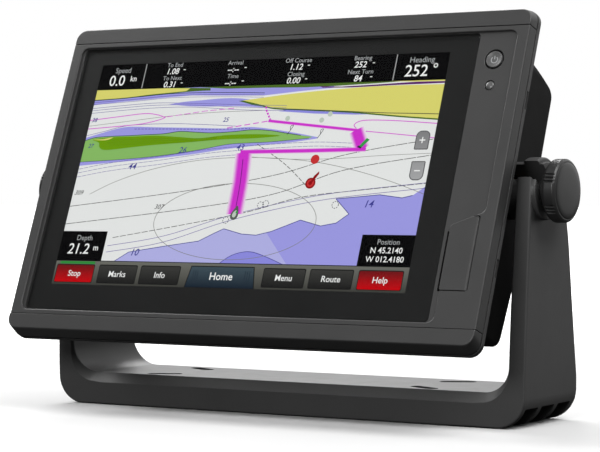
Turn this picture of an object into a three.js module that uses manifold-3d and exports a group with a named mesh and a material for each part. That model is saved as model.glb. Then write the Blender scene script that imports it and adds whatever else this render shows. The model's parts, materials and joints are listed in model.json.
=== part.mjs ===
// Marine chartplotter display on a tilting bail mount.
// Millimetres, +X right, +Y away from the viewer, +Z up.
// The origin is on the underside of the bail's base, straight below the tilt axis.
// The display is drawn in its own frame (front rim at y = 0, z measured from mid height),
// then leaned back about the tilt axis by a turned group.

import * as THREE from 'three';
import { mergeVertices } from 'three/addons/utils/BufferGeometryUtils.js';
import Module from 'manifold-3d';

const wasm = await Module();
wasm.setup();

// ---------------------------------------------------------------- driving dimensions

const GAP = 0.3; // clearance between neighbouring pieces
const LEAN = 21.7; // how far the display leans back at rest, degrees

const PIVOT = { height: 105.5, y: 30.8, z: 3.9 }; // tilt axis: above the base, and in the display

const CASE = {
  halfWidth: 128,
  halfHeight: 81.3,
  corner: 6,
  seam: 71.2, // height of the line where the trim caps start
  draftX: 0.3,
  draftZ: 2.2,
  frontDepth: 6.6,
  neckInset: 1,
  lipFront: 7.2,
  back: 9.7,
  recess: 1,
  wallBack: 5.2, // back of the bezel's front wall
};

const GLASS = { left: -120, right: 103, halfHeight: 68.2, corner: 2, thickness: 1.2 };
const SCREEN = { x: -10, z: 2.6, halfWidth: 103.5, halfHeight: 61.5, cell: 2.1, tray: 3.8 };
const CAVITY = { halfWidth: 118.3, halfHeight: 66.2, corner: 3 };

const BUTTON = { x: 112.3, z: 55.3, radius: 4.3, travel: 0.8 };
const SENSOR = { x: 112.3, z: 42.7, radius: 2.1 };

const RECESS = { halfHeight: 68.8, corner: 3.5 };
const CLIP = { x: [-67, 0, 67], z: 75.5, halfWidth: 3, halfThickness: 0.8 };
const FLUSH_SCREW = { x: 121, z: 73.5, radius: 2 };
const GASKET = { halfWidth: 119.4, halfHeight: 67.9, width: 1, depth: 1.2, corner: 4 };

const STEP = { x: 106.2, outer: 122, diagonalTop: -18.3, diagonalLow: -23.9 }; // raised panel
const DOOR = { right: 119.9, bottom: -54, plate: 2.2, knuckle: 1.9, pin: 0.5 };
const CARD = { width: 11, length: 15, thickness: 1, x: 110.2, front: 6.6, z: [-32.3, -45.7] };

const HOUSING = { halfWidth: 116, front: 10, wall: 2.5, corner: 3 };
const FLANGE = { halfWidth: 122, halfHeight: 77, corner: 14, back: 13 };
const BACK = { lowY: 48.1, lowZ: -37, deepY: 56, deepZ: 34, topY: 54.4, topZ: 61.4 }; // rear face
const BAY = { halfWidth: 60, low: -50, high: -16, floor: 38 };
const PORTS = { x: [-42, -14, 14, 42], z: -33, radius: 8 };
const VENT = { x: 88, z: -20, radius: 4.6 };
const GROOVES = { each: 4, pitch: 16, halfWidth: 2.5, low: 2, high: 50, depth: 1 };
const CASE_SCREW = { x: [-100, -34, 34, 100], z: 74.2, radius: 1.5 };
const BOARD = { front: 16, thickness: 1.6, halfHeight: 54, left: -95, right: 98 };
const BOARD_SCREW = { x: [-88, 90], z: 48, radius: 1 };
const SHIELD = { left: 38, right: 80, low: -8, high: 34, height: 4, wall: 0.5 };
const HEAT_SINK = { left: -34, right: 22, low: -6, high: 44, base: 4, height: 20 };
const FINS = { count: 8, pitch: 7.5, thickness: 1.8 };
const ANTENNA = { x: -61, y: 35, z: 50, half: 14, patchHalf: 12.5 };

const BAIL = {
  halfWidth: 129.7,
  inner: 121.2,
  splayOut: 3.4, // how far the outside and the inside of an arm lean out over its whole height
  splayIn: 4.4,
  front: -15.7,
  back: 36,
  baseTop: 15.5,
  outerCorner: 13.4,
  innerCorner: 13,
  chamfer: 4.6,
  top: 120.5,
  slotWidth: 9.4,
  discRadius: 13,
  discInner: 118.6,
  ringOuter: 134.5,
};
const BASE_HOLES = { x: 73.3, y: [-3.8, 28.6], width: 6, length: 17.5, turn: 25 };
const UNDERSIDE = { wall: 3, rib: 3.4, roof: 12.5, endRoof: 8.8 };

const KNOB = { inner: 136.3, outer: 144.8, radius: 14.2, face: 12.8, stud: 3, studEnd: 105 };

// ---------------------------------------------------------------- solids and outlines

const X = new THREE.Vector3(1, 0, 0);
const Y = new THREE.Vector3(0, 1, 0);
const Z = new THREE.Vector3(0, 0, 1);
const FACING_Y = new THREE.Matrix4().makeBasis(X, Z, Y.clone().negate());
const FACING_X = new THREE.Matrix4().makeBasis(Y, Z, X);

function toSolid(geometry) {
  const bare = geometry.clone();
  bare.deleteAttribute('normal');
  bare.deleteAttribute('uv');
  const merged = mergeVertices(bare, 1e-4);
  const corners = merged.index.array;
  const kept = [];
  for (let i = 0; i < corners.length; i += 3) {
    const [a, b, c] = corners.slice(i, i + 3);
    if (a !== b && b !== c && c !== a) kept.push(a, b, c);
  }
  return new wasm.Manifold(new wasm.Mesh({
    numProp: 3,
    vertProperties: new Float32Array(merged.attributes.position.array),
    triVerts: new Uint32Array(kept),
  }));
}

function toGeometry(solid) {
  const mesh = solid.getMesh();
  const geometry = new THREE.BufferGeometry();
  geometry.setAttribute('position', new THREE.BufferAttribute(mesh.vertProperties, 3));
  geometry.setIndex(new THREE.BufferAttribute(mesh.triVerts, 1));
  geometry.computeVertexNormals();
  return geometry;
}

// A closed outline through [u, v, cornerRadius] points given counter-clockwise.
function outline(corners) {
  const shape = new THREE.Shape();
  const count = corners.length;
  const point = (i) => new THREE.Vector2(...corners[(i + count) % count].slice(0, 2));
  corners.forEach(([u, v, radius = 0], i) => {
    if (!radius) {
      if (i === 0) shape.moveTo(u, v);
      else shape.lineTo(u, v);
      return;
    }
    const here = point(i);
    const before = point(i - 1).sub(here).normalize();
    const after = point(i + 1).sub(here).normalize();
    const half = Math.acos(before.dot(after)) / 2;
    const reach = radius / Math.tan(half);
    const start = here.clone().addScaledVector(before, reach);
    const end = here.clone().addScaledVector(after, reach);
    const middle = before.clone().add(after).normalize();
    const centre = here.clone().addScaledVector(middle, radius / Math.sin(half));
    const from = Math.atan2(start.y - centre.y, start.x - centre.x);
    const to = Math.atan2(end.y - centre.y, end.x - centre.x);
    if (i > 0 && shape.curves.length === 0) shape.lineTo(start.x, start.y);
    shape.absarc(centre.x, centre.y, radius, from, to, before.cross(after) > 0);
  });
  shape.closePath();
  return shape;
}

function rectangle(u0, u1, v0, v1, radius = 0) {
  return outline([[u0, v0, radius], [u1, v0, radius], [u1, v1, radius], [u0, v1, radius]]);
}

function circle(u, v, radius) {
  const shape = new THREE.Shape();
  shape.absarc(u, v, radius, 0, 2 * Math.PI, false);
  return shape;
}

function extrude(shape, depth, detail) {
  return new THREE.ExtrudeGeometry(shape, { depth, bevelEnabled: false, curveSegments: detail });
}

// Extrusions of an outline drawn in (x, z), (y, z) or (x, y).
function alongY(shape, from, to, detail = 3) {
  return toSolid(extrude(shape, to - from, detail).applyMatrix4(FACING_Y).translate(0, to, 0));
}

function alongX(shape, from, to, detail = 3) {
  return toSolid(extrude(shape, to - from, detail).applyMatrix4(FACING_X).translate(from, 0, 0));
}

function alongZ(shape, from, to, detail = 3) {
  return toSolid(extrude(shape, to - from, detail).translate(0, 0, from));
}

const pegY = (x, z, radius, from, to, detail = 10) => alongY(circle(x, z, radius), from, to, detail);
const pegX = (y, z, radius, from, to, detail = 10) => alongX(circle(y, z, radius), from, to, detail);

function block(x0, x1, y0, y1, z0, z1) {
  const box = new THREE.BoxGeometry(x1 - x0, y1 - y0, z1 - z0);
  return toSolid(box.translate((x0 + x1) / 2, (y0 + y1) / 2, (z0 + z1) / 2));
}

// Turned solids from [along, radius] points in either order, with the axis along +X through (y, z)
// or along +Y through (x, z).
function lathe(profile, segments) {
  const points = profile.map(([along, radius]) => new THREE.Vector2(radius, along));
  if (THREE.ShapeUtils.area(points) < 0) points.reverse();
  return new THREE.LatheGeometry(points, segments);
}

function turnedX(profile, y, z, segments = 28) {
  return toSolid(lathe(profile, segments).rotateZ(-Math.PI / 2).translate(0, y, z));
}

function turnedY(profile, x, z, segments = 24) {
  return toSolid(lathe(profile, segments).translate(x, 0, z));
}

const join = (solids) => solids.reduce((whole, solid) => whole.add(solid));
const cut = (solid, tools) => tools.reduce((left, tool) => left.subtract(tool), solid);
const SIDES = [['left', -1], ['right', 1]];

// ---------------------------------------------------------------- materials

const FINISHES = {
  casePlastic: { color: 0x4a4a4b, roughness: 0.55, metalness: 0 },
  housingPlastic: { color: 0x1e1e1f, roughness: 0.65, metalness: 0 },
  bailPlastic: { color: 0x3a3a3b, roughness: 0.6, metalness: 0 },
  knobPlastic: { color: 0x3f3f40, roughness: 0.5, metalness: 0 },
  rubber: { color: 0x151515, roughness: 0.85, metalness: 0 },
  nylon: { color: 0x202020, roughness: 0.5, metalness: 0 },
  glass: { color: 0x1b1b1c, roughness: 0.06, metalness: 0 },
  lens: { color: 0x2a2a2c, roughness: 0.1, metalness: 0 },
  display: { color: 0xa5a0eb, roughness: 0.3, metalness: 0 },
  steel: { color: 0xa8aaac, roughness: 0.35, metalness: 1 },
  brass: { color: 0xb58d3d, roughness: 0.35, metalness: 1 },
  aluminium: { color: 0xb9bbbd, roughness: 0.45, metalness: 1 },
  board: { color: 0x1d4a2c, roughness: 0.55, metalness: 0 },
  ceramic: { color: 0xb9a988, roughness: 0.6, metalness: 0 },
  cardPlastic: { color: 0x111112, roughness: 0.45, metalness: 0 },
};

function piece(name, finish, solid) {
  const mesh = new THREE.Mesh(toGeometry(solid), new THREE.MeshStandardMaterial(FINISHES[finish]));
  mesh.name = name;
  return mesh;
}

// ---------------------------------------------------------------- front bezel and trim caps

// The case outline, drafted so that it is smaller at its front.
function draftedCase(front) {
  const shape = rectangle(-CASE.halfWidth, CASE.halfWidth, -CASE.halfHeight, CASE.halfHeight, CASE.corner);
  const depth = CASE.frontDepth - front;
  const geometry = extrude(shape, depth, 4).applyMatrix4(FACING_Y).translate(0, CASE.frontDepth, 0);
  const position = geometry.attributes.position;
  for (let i = 0; i < position.count; i += 1) {
    const share = (CASE.frontDepth - position.getY(i)) / CASE.frontDepth;
    position.setX(i, position.getX(i) - Math.sign(position.getX(i)) * CASE.draftX * share);
    position.setZ(i, position.getZ(i) - Math.sign(position.getZ(i)) * CASE.draftZ * share);
  }
  return toSolid(geometry);
}

const diagonalAt = (x) => {
  const slope = (STEP.diagonalTop - STEP.diagonalLow) / (DOOR.right - STEP.x);
  return STEP.diagonalLow + slope * (x - STEP.x);
};
const knuckleX = DOOR.right - DOOR.knuckle;
const doorShoulderX = knuckleX - DOOR.knuckle;
const doorTop = diagonalAt(doorShoulderX);

function recessOutline() {
  const { halfHeight, corner } = RECESS;
  return outline([
    [-STEP.outer, -halfHeight, corner],
    [STEP.x, -halfHeight, corner],
    [STEP.x, STEP.diagonalLow, corner - 1],
    [STEP.outer, diagonalAt(STEP.outer), corner],
    [STEP.outer, halfHeight, corner],
    [-STEP.outer, halfHeight, corner],
  ]);
}

function doorOutline(grow) {
  return outline([
    [STEP.x - grow, DOOR.bottom - grow, 0.8],
    [DOOR.right + grow, DOOR.bottom - grow, 0],
    [DOOR.right + grow, doorTop + grow, 0],
    [doorShoulderX, doorTop + grow, 0],
    [STEP.x - grow, diagonalAt(STEP.x) + grow, 1.8],
  ]);
}

const doorFloor = 2 * DOOR.knuckle + GAP;
const cardSpan = [Math.min(...CARD.z) - 6.5, Math.max(...CARD.z) + 6.5];

function ringY(halfWidth, halfHeight, width, corner, from, to) {
  const outer = rectangle(-halfWidth, halfWidth, -halfHeight, halfHeight, corner);
  const inner = rectangle(-halfWidth + width, halfWidth - width, -halfHeight + width, halfHeight - width,
    corner - width / 2);
  return alongY(outer, from, to).subtract(alongY(inner, from - 1, to + 1));
}

function frontBezel() {
  const { halfWidth, halfHeight, corner, frontDepth, lipFront, back, neckInset, seam } = CASE;
  const middle = draftedCase(0).intersect(block(-140, 140, -1, frontDepth, -seam, seam));
  const neck = alongY(rectangle(-halfWidth + neckInset, halfWidth - neckInset,
    -halfHeight + neckInset, halfHeight - neckInset, corner), frontDepth - 0.1, lipFront + 0.1);
  const lip = alongY(rectangle(-halfWidth, halfWidth, -halfHeight, halfHeight, corner), lipFront, back, 4);
  const pocketBack = CASE.recess + GLASS.thickness + 1.2;
  const clipSlotX = CLIP.halfWidth + GAP;
  const clipSlotZ = CLIP.halfThickness + GAP;
  const tools = [
    alongY(recessOutline(), -2, CASE.recess),
    alongY(rectangle(GLASS.left - GAP, GLASS.right + GAP, -GLASS.halfHeight - GAP, GLASS.halfHeight + GAP,
      GLASS.corner), 0, pocketBack),
    alongY(rectangle(SCREEN.x - SCREEN.halfWidth - 0.5, SCREEN.x + SCREEN.halfWidth + 0.5,
      SCREEN.z - SCREEN.halfHeight - 0.5, SCREEN.z + SCREEN.halfHeight + 0.5), 0, back),
    alongY(rectangle(-CAVITY.halfWidth, CAVITY.halfWidth, -CAVITY.halfHeight, CAVITY.halfHeight,
      CAVITY.corner), CASE.wallBack, back + 1),
    pegY(BUTTON.x, BUTTON.z, BUTTON.radius + 0.4, 0, back, 12),
    pegY(SENSOR.x, SENSOR.z, SENSOR.radius + GAP, 0, back, 8),
    alongY(doorOutline(GAP), -1, doorFloor),
    block(CARD.x - 1.7, CARD.x + 1.7, 0, back, ...cardSpan),
    alongZ(circle(knuckleX, DOOR.knuckle, DOOR.pin + GAP), DOOR.bottom - 3, doorTop + 3, 5),
    ringY(GASKET.halfWidth + GAP, GASKET.halfHeight + GAP, GASKET.width + 2 * GAP, GASKET.corner,
      back - GASKET.depth - GAP, back + 1),
    ...CLIP.x.flatMap((x) => [-1, 1].map((side) => block(x - clipSlotX, x + clipSlotX, 0, back + 1,
      side * CLIP.z - clipSlotZ, side * CLIP.z + clipSlotZ))),
    ...CASE_SCREW.x.flatMap((x) => [-1, 1].map((side) => pegY(x, side * CASE_SCREW.z,
      CASE_SCREW.radius + GAP, 0, back + 1, 6))),
    ...[-1, 1].flatMap((sideX) => [-1, 1].map((side) => pegY(sideX * FLUSH_SCREW.x, side * FLUSH_SCREW.z,
      FLUSH_SCREW.radius, 0, back + 1, 6))),
  ];
  return cut(join([middle, neck, lip]), tools);
}

function trimCap(side) {
  const front = side > 0 ? 0 : -0.5;
  const low = CASE.seam + GAP;
  const wall = 1.6;
  const range = (a, b) => (side > 0 ? [a, b] : [-b, -a]);
  const shell = draftedCase(front).intersect(block(-140, 140, -2, CASE.frontDepth - GAP, ...range(low, 90)));
  const hollowHigh = CASE.halfHeight - CASE.draftZ - wall + 0.6;
  const hollow = block(-120, 120, front + wall, 10, ...range(low + 1.2, hollowHigh));
  const corners = [-1, 1].map((sideX) => pegY(sideX * FLUSH_SCREW.x, side * FLUSH_SCREW.z,
    FLUSH_SCREW.radius + 0.4, front + wall, 10, 6));
  const clips = CLIP.x.map((x) => block(x - CLIP.halfWidth, x + CLIP.halfWidth, front + 1, CASE.back - GAP,
    ...range(CLIP.z - CLIP.halfThickness, CLIP.z + CLIP.halfThickness)));
  return join([cut(shell, [hollow, ...corners]), ...clips]);
}

// ---------------------------------------------------------------- screen stack

const glassBack = CASE.recess + GLASS.thickness;
const cellBack = glassBack + GAP + SCREEN.cell;
const trayFront = CASE.wallBack + GAP;

function screenBlock(grow, from, to) {
  return alongY(rectangle(SCREEN.x - SCREEN.halfWidth - grow, SCREEN.x + SCREEN.halfWidth + grow,
    SCREEN.z - SCREEN.halfHeight - grow, SCREEN.z + SCREEN.halfHeight + grow), from, to);
}

function coverGlass() {
  return alongY(rectangle(GLASS.left, GLASS.right, -GLASS.halfHeight, GLASS.halfHeight, GLASS.corner),
    CASE.recess, glassBack);
}

function glassAdhesive() {
  const edge = alongY(rectangle(GLASS.left + 0.3, GLASS.right - 0.3, -GLASS.halfHeight + 0.3,
    GLASS.halfHeight - 0.3, GLASS.corner), glassBack + GAP, glassBack + GAP + 0.6);
  return edge.subtract(screenBlock(1, 0, 10));
}

function backlightTray() {
  const tray = screenBlock(1, trayFront, trayFront + SCREEN.tray);
  return tray.subtract(screenBlock(-0.5, 0, trayFront + 2.4));
}

const plateFront = HOUSING.front + GAP;
const plateBack = plateFront + 1.2;

function chassisPlate() {
  const plate = alongY(rectangle(-112, 100, -62, 62, 4), plateFront, plateBack);
  const posts = BOARD_SCREW.x.flatMap((x) => [-1, 1].map((side) => pegY(x, side * BOARD_SCREW.z, 3.2,
    plateBack - 0.1, BOARD.front - GAP, 6)));
  const bores = BOARD_SCREW.x.flatMap((x) => [-1, 1].map((side) => pegY(x, side * BOARD_SCREW.z,
    BOARD_SCREW.radius + GAP, plateFront - 1, 20, 6)));
  const windows = [-60, -5, 50].map((x) => block(x - 18, x + 18, 0, 20, -30, 20));
  return cut(join([plate, ...posts]), [...bores, ...windows]);
}

// ---------------------------------------------------------------- button, sensor, card bay

const buttonBack = CASE.wallBack + GAP + 1.1;
const sealFront = buttonBack + BUTTON.travel + GAP;

function powerButton() {
  const { radius } = BUTTON;
  return turnedY([
    [1.5, 0], [1.15, 2.4], [0.75, 3.6], [0.75, radius - 0.35], [1.1, radius],
    [CASE.wallBack + GAP, radius], [CASE.wallBack + GAP, radius + 1.2],
    [CASE.wallBack + GAP + 0.7, radius + 1.2], [CASE.wallBack + GAP + 0.7, 2], [buttonBack, 2],
    [buttonBack, 0],
  ], BUTTON.x, BUTTON.z, 20);
}

// A thin silicone dome behind the button.
function buttonSeal() {
  return turnedY([
    [sealFront, 0], [sealFront, 2.6], [sealFront + 0.4, 3.6], [sealFront + 0.4, 5.6],
    [sealFront + 0.8, 5.6], [sealFront + 0.8, 3.4], [sealFront + 0.4, 2.4], [sealFront + 0.4, 0],
  ], BUTTON.x, BUTTON.z, 16);
}

const switchFront = sealFront + 0.8 + 0.1;
const buttonBoardFront = HOUSING.front + GAP;
const boardRight = HOUSING.halfWidth - HOUSING.wall - GAP;

function powerSwitch() {
  const body = block(boardRight - 2.6, boardRight, switchFront + 0.3, buttonBoardFront - GAP,
    BUTTON.z - 2.2, BUTTON.z + 2.2);
  return body.add(pegY(boardRight - 1.3, BUTTON.z, 0.9, switchFront, switchFront + 0.5, 6));
}

function buttonBoard() {
  return block(boardRight - 9, boardRight, buttonBoardFront, buttonBoardFront + 1.2, 36, 62);
}

function sensorLens() {
  const { radius } = SENSOR;
  return turnedY([
    [0.6, 0], [0.75, radius * 0.5], [1.15, radius * 0.87], [1.7, radius], [CASE.wallBack + GAP, radius],
    [CASE.wallBack + GAP, radius + 0.9], [CASE.wallBack + GAP + 0.8, radius + 0.9],
    [CASE.wallBack + GAP + 0.8, 0],
  ], SENSOR.x, SENSOR.z, 18);
}

function sensorChip() {
  return block(boardRight - 2.2, boardRight, buttonBoardFront - GAP - 0.9, buttonBoardFront - GAP,
    SENSOR.z - 1, SENSOR.z + 1);
}

function cardDoor() {
  const plate = alongY(doorOutline(0), 0, DOOR.plate).intersect(block(0, knuckleX, -1, 9, -90, 0));
  const knuckle = alongZ(circle(knuckleX, DOOR.knuckle, DOOR.knuckle), DOOR.bottom, doorTop, 10);
  const fillet = block(knuckleX - DOOR.knuckle, knuckleX, 0, DOOR.plate, DOOR.bottom, doorTop);
  const bore = alongZ(circle(knuckleX, DOOR.knuckle, DOOR.pin + GAP), DOOR.bottom - 1, doorTop + 1, 5);
  return join([plate, knuckle, fillet]).subtract(bore);
}

function cardDoorPin() {
  return alongZ(circle(knuckleX, DOOR.knuckle, DOOR.pin), DOOR.bottom - 2.6, doorTop + 2.6, 5);
}

function cardDoorSeal() {
  const from = DOOR.plate + GAP;
  const [low, high] = cardSpan;
  const outer = rectangle(CARD.x - 3, CARD.x + 3, low - 1.6, high + 1.6, 1.5);
  const inner = rectangle(CARD.x - 2, CARD.x + 2, low - 0.6, high + 0.6, 0.6);
  return alongY(outer, from, from + 1.2).subtract(alongY(inner, from - 1, from + 3));
}

const cardHalf = CARD.width / 2;

function memoryCard(z) {
  const y0 = CARD.front;
  const y1 = CARD.front + CARD.length;
  const shape = outline([
    [y0, z - cardHalf, 0.8], [y1, z - cardHalf, 0.6], [y1, z + 4.1, 0.4], [y1 - 5.6, z + 4.1, 0],
    [y1 - 6.8, z + cardHalf, 0], [y0, z + cardHalf, 0.8],
  ]);
  return alongX(shape, CARD.x - CARD.thickness / 2, CARD.x + CARD.thickness / 2);
}

function cardSocket(z) {
  const half = cardHalf + 1.0;
  const shell = block(CARD.x - 1.5, CARD.x + 1.6, CARD.front + GAP, CARD.front + 18, z - half, z + half);
  const slot = block(CARD.x - 0.8, CARD.x + 0.8, 0, CARD.front + 16.4, z - cardHalf - GAP, z + cardHalf + GAP);
  return shell.subtract(slot);
}

function cardBoard() {
  const right = CARD.x - 1.5 - GAP;
  return block(right - 1.2, right, CARD.front + 1, CARD.front + 20, cardSpan[0] - 0.5, cardSpan[1] + 0.5);
}

// ---------------------------------------------------------------- rear housing

function housingBody(inset) {
  const side = outline([
    [HOUSING.front + (inset ? -5 : 0), -72.5 + inset, 0],
    [32, -69 + inset, 14],
    [44.6 - inset, -65.4 + inset, 8],
    [BACK.lowY - inset, BACK.lowZ, 30],
    [BACK.deepY - inset, BACK.deepZ, 40],
    [BACK.topY - inset, BACK.topZ - inset, 7],
    [HOUSING.front + (inset ? -5 : 0), 72 - inset, 0],
  ]);
  const half = HOUSING.halfWidth - inset;
  const back = BACK.deepY + 0.2 - inset;
  const { corner } = HOUSING;
  const plan = outline([[-half, 0, 0], [half, 0, 0], [half, back, corner], [-half, back, corner]]);
  const face = rectangle(-half, half, -72.6 + inset, 72.1 - inset, 9);
  return alongX(side, -half, half, 2).intersect(alongZ(plan, -90, 90)).intersect(alongY(face, 0, 60));
}

// Depth of the rear face at height z.
function backAt(z) {
  const [y, height] = z < BACK.deepZ ? [BACK.lowY, BACK.lowZ] : [BACK.topY, BACK.topZ];
  return BACK.deepY - ((z - BACK.deepZ) * (BACK.deepY - y)) / (height - BACK.deepZ);
}

function rearHousing() {
  const outer = housingBody(0);
  const { wall } = HOUSING;
  const bay = (grow) => alongY(rectangle(-BAY.halfWidth - grow, BAY.halfWidth + grow, BAY.low - grow,
    BAY.high + grow, 5 + grow), BAY.floor - grow, 80);
  const flange = alongY(rectangle(-FLANGE.halfWidth, FLANGE.halfWidth, -FLANGE.halfHeight,
    FLANGE.halfHeight, FLANGE.corner), HOUSING.front, FLANGE.back);
  const pads = SIDES.map(([, side]) => pegX(PIVOT.y, PIVOT.z, 13,
    ...(side > 0 ? [100, BAIL.discInner - 0.5] : [-BAIL.discInner + 0.5, -100]), 12));
  const shell = outer.add(flange).subtract(housingBody(wall));
  const bores = SIDES.map(([, side]) => pegX(PIVOT.y, PIVOT.z, 6.3,
    ...(side > 0 ? [102.5, 130] : [-130, -102.5])));
  const padTrim = block(-140, 140, 13, 49, -60, 60);
  const { each, pitch, halfWidth, low, high, depth } = GROOVES;
  const grooves = Array.from({ length: 2 * each + 1 }, (_, i) => {
    const x = (i - each) * pitch;
    const side = outline([[backAt(low) - depth, low, 0], [BACK.deepY - depth, BACK.deepZ, 0],
      [backAt(high) - depth, high, 0], [70, high, 0], [70, low, 0]]);
    return alongX(side, x - halfWidth, x + halfWidth);
  });
  const portHoles = PORTS.x.map((x) => pegY(x, PORTS.z, PORTS.radius + GAP, 30, 60, 10));
  const screwHoles = CASE_SCREW.x.flatMap((x) => [-1, 1].map((side) => pegY(x, side * CASE_SCREW.z,
    CASE_SCREW.radius + GAP, 0, 40, 6)));
  const screwSeats = CASE_SCREW.x.flatMap((x) => [-1, 1].map((side) => pegY(x, side * CASE_SCREW.z,
    3.2, FLANGE.back, 60, 8)));
  const whole = join([shell, ...pads.map((pad) => pad.intersect(padTrim)), bay(wall).intersect(outer)]);
  return cut(whole, [
    bay(0), ...bores, ...grooves, ...portHoles, ...screwHoles, ...screwSeats,
    pegY(VENT.x, VENT.z, VENT.radius + GAP, backAt(VENT.z) - 1.2, 70, 10),
    pegY(VENT.x, VENT.z, 2.6, 30, 70, 8),
  ]);
}

function pressureVent() {
  const seat = backAt(VENT.z) - 1.2 + GAP;
  return turnedY([[seat - 3, 0], [seat - 3, 2.3], [seat, 2.3], [seat, VENT.radius], [seat + 0.8, VENT.radius],
    [seat + 1.3, VENT.radius - 0.8], [seat + 1.3, 0]], VENT.x, VENT.z, 18);
}

// Each port is a round threaded shell with its contact pins standing in the cup.
const PORT_PINS = { power: 4, network: 8, data: 5, sonar: 12 };

function port(x, pins) {
  const { radius } = PORTS;
  const floor = BAY.floor + 2;
  const shell = turnedY([
    [BAY.floor - 9, 0], [BAY.floor - 9, radius - 1], [BAY.floor - HOUSING.wall - GAP, radius - 1],
    [BAY.floor - HOUSING.wall - GAP, radius], [46, radius], [46.6, radius - 0.6], [46.6, radius - 1.6],
    [floor, radius - 1.6], [floor, 0],
  ], x, PORTS.z, 20);
  const key = block(x - 0.9, x + 0.9, floor - 1, 45.5, PORTS.z + radius - 2.6, PORTS.z + radius - 1);
  const contacts = Array.from({ length: pins }, (_, i) => {
    const angle = (2 * Math.PI * (i + 0.5)) / pins;
    const reach = pins > 6 ? 3.9 : 3;
    return pegY(x + reach * Math.sin(angle), PORTS.z + reach * Math.cos(angle), 0.5, floor - 1, 44, 3);
  });
  return join([shell, key, ...contacts]);
}

function portCap(x) {
  const { radius } = PORTS;
  return turnedY([
    [BAY.floor + 2.4, radius + GAP], [BAY.floor + 2.4, radius + 1.9], [48.4, radius + 1.7],
    [49.4, radius + 0.7], [49.4, 0], [47.2, 0], [47.2, radius + GAP], [BAY.floor + 2.4, radius + GAP],
  ], x, PORTS.z, 24);
}

function screwY(x, z, seat, radius, head, length) {
  const top = seat + head * 0.75;
  const socket = alongY(new THREE.Shape(Array.from({ length: 6 }, (_, i) => new THREE.Vector2(
    x + head * 0.48 * Math.cos((i * Math.PI) / 3), z + head * 0.48 * Math.sin((i * Math.PI) / 3)))),
  seat + head * 0.3, top + 1);
  return turnedY([
    [seat - length, 0], [seat - length, radius], [seat, radius], [seat, head], [seat + head * 0.5, head],
    [top, head * 0.8], [top, 0],
  ], x, z, 10).subtract(socket);
}

// ---------------------------------------------------------------- electronics

const boardBack = BOARD.front + BOARD.thickness;

function mainBoard() {
  const board = block(BOARD.left, BOARD.right, BOARD.front, boardBack, -BOARD.halfHeight, BOARD.halfHeight);
  const holes = BOARD_SCREW.x.flatMap((x) => [-1, 1].map((side) => pegY(x, side * BOARD_SCREW.z,
    BOARD_SCREW.radius + GAP, 0, 30, 6)));
  return cut(board, holes);
}

function shieldCan() {
  const front = boardBack + GAP;
  const { left, right, low, high, height, wall } = SHIELD;
  const can = block(left, right, front, front + height, low, high);
  const inside = block(left + wall, right - wall, front - 1, front + height - wall, low + wall, high - wall);
  return can.subtract(inside);
}

function heatSink() {
  const front = boardBack + GAP;
  const { left, right, low, high, base, height } = HEAT_SINK;
  const plate = block(left, right, front, front + base, low, high);
  const fins = Array.from({ length: FINS.count }, (_, i) => {
    const start = left + 1 + i * FINS.pitch;
    return block(start, start + FINS.thickness, front + base - 0.1, front + height, low + 1, high - 1);
  });
  return join([plate, ...fins]);
}

function gpsAntenna() {
  const { x, y, z, half, patchHalf } = ANTENNA;
  const plate = block(x - half, x + half, y - 11, y + 11, z, z + 1.4);
  const patch = block(x - patchHalf, x + patchHalf, y - 9.5, y + 9.5, z + 1.3, z + 5.5);
  return join([plate, patch, alongZ(circle(x, y, 1.2), z + 5.4, z + 6, 4)]);
}

// ---------------------------------------------------------------- bail, knobs and pivots

function armOutline() {
  const shape = new THREE.Shape();
  const { height } = PIVOT;
  const crown = BAIL.top - height;
  shape.moveTo(BAIL.front, 0);
  shape.lineTo(BAIL.back, 0);
  shape.quadraticCurveTo(38.9, 4, 38.6, 18);
  shape.lineTo(28.3, 74);
  shape.quadraticCurveTo(22.7, 107, crown * Math.sin(0.7), height + crown * Math.cos(0.7));
  shape.absarc(0, height, crown, Math.PI / 2 - 0.7, Math.PI - 0.535, false);
  shape.lineTo(BAIL.front - 0.1, 20);
  return shape;
}

function bailOutline() {
  const { halfWidth, inner, splayOut, splayIn, baseTop, outerCorner, innerCorner, top } = BAIL;
  const outerTop = halfWidth + splayOut;
  const innerTop = inner + splayIn;
  return outline([
    [-halfWidth, 0, outerCorner], [halfWidth, 0, outerCorner], [outerTop, top, 0], [innerTop, top, 0],
    [inner, baseTop, innerCorner], [-inner, baseTop, innerCorner], [-innerTop, top, 0], [-outerTop, top, 0],
  ]);
}

// The three channels under the base, divided by two long ribs.
function undersideLanes() {
  const { wall, rib } = UNDERSIDE;
  const from = BAIL.front + wall;
  const width = (BAIL.back - wall - from - 2 * rib) / 3;
  return [0, 1, 2].map((i) => [from + i * (width + rib), from + i * (width + rib) + width]);
}

function underside() {
  const { roof, endRoof } = UNDERSIDE;
  const end = BAIL.halfWidth - BAIL.outerCorner;
  const ribHalf = 2;
  const padHalf = 9;
  const spans = [[ribHalf, BASE_HOLES.x - padHalf], [BASE_HOLES.x + padHalf, end]];
  const middle = undersideLanes()[1];
  const cuts = [];
  for (const [y0, y1] of undersideLanes()) {
    for (const side of [-1, 1]) {
      for (const [a, b] of spans) {
        cuts.push(block(Math.min(side * a, side * b), Math.max(side * a, side * b), y0, y1, -1, roof));
      }
      cuts.push(block(Math.min(side * end, side * 140) - 0.1, Math.max(side * end, side * 140) + 0.1,
        y0, y1, -1, endRoof));
    }
  }
  for (const side of [-1, 1]) {
    cuts.push(block(side * BASE_HOLES.x - padHalf + 2, side * BASE_HOLES.x + padHalf - 2, ...middle, -1, roof));
  }
  return cuts;
}

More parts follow.
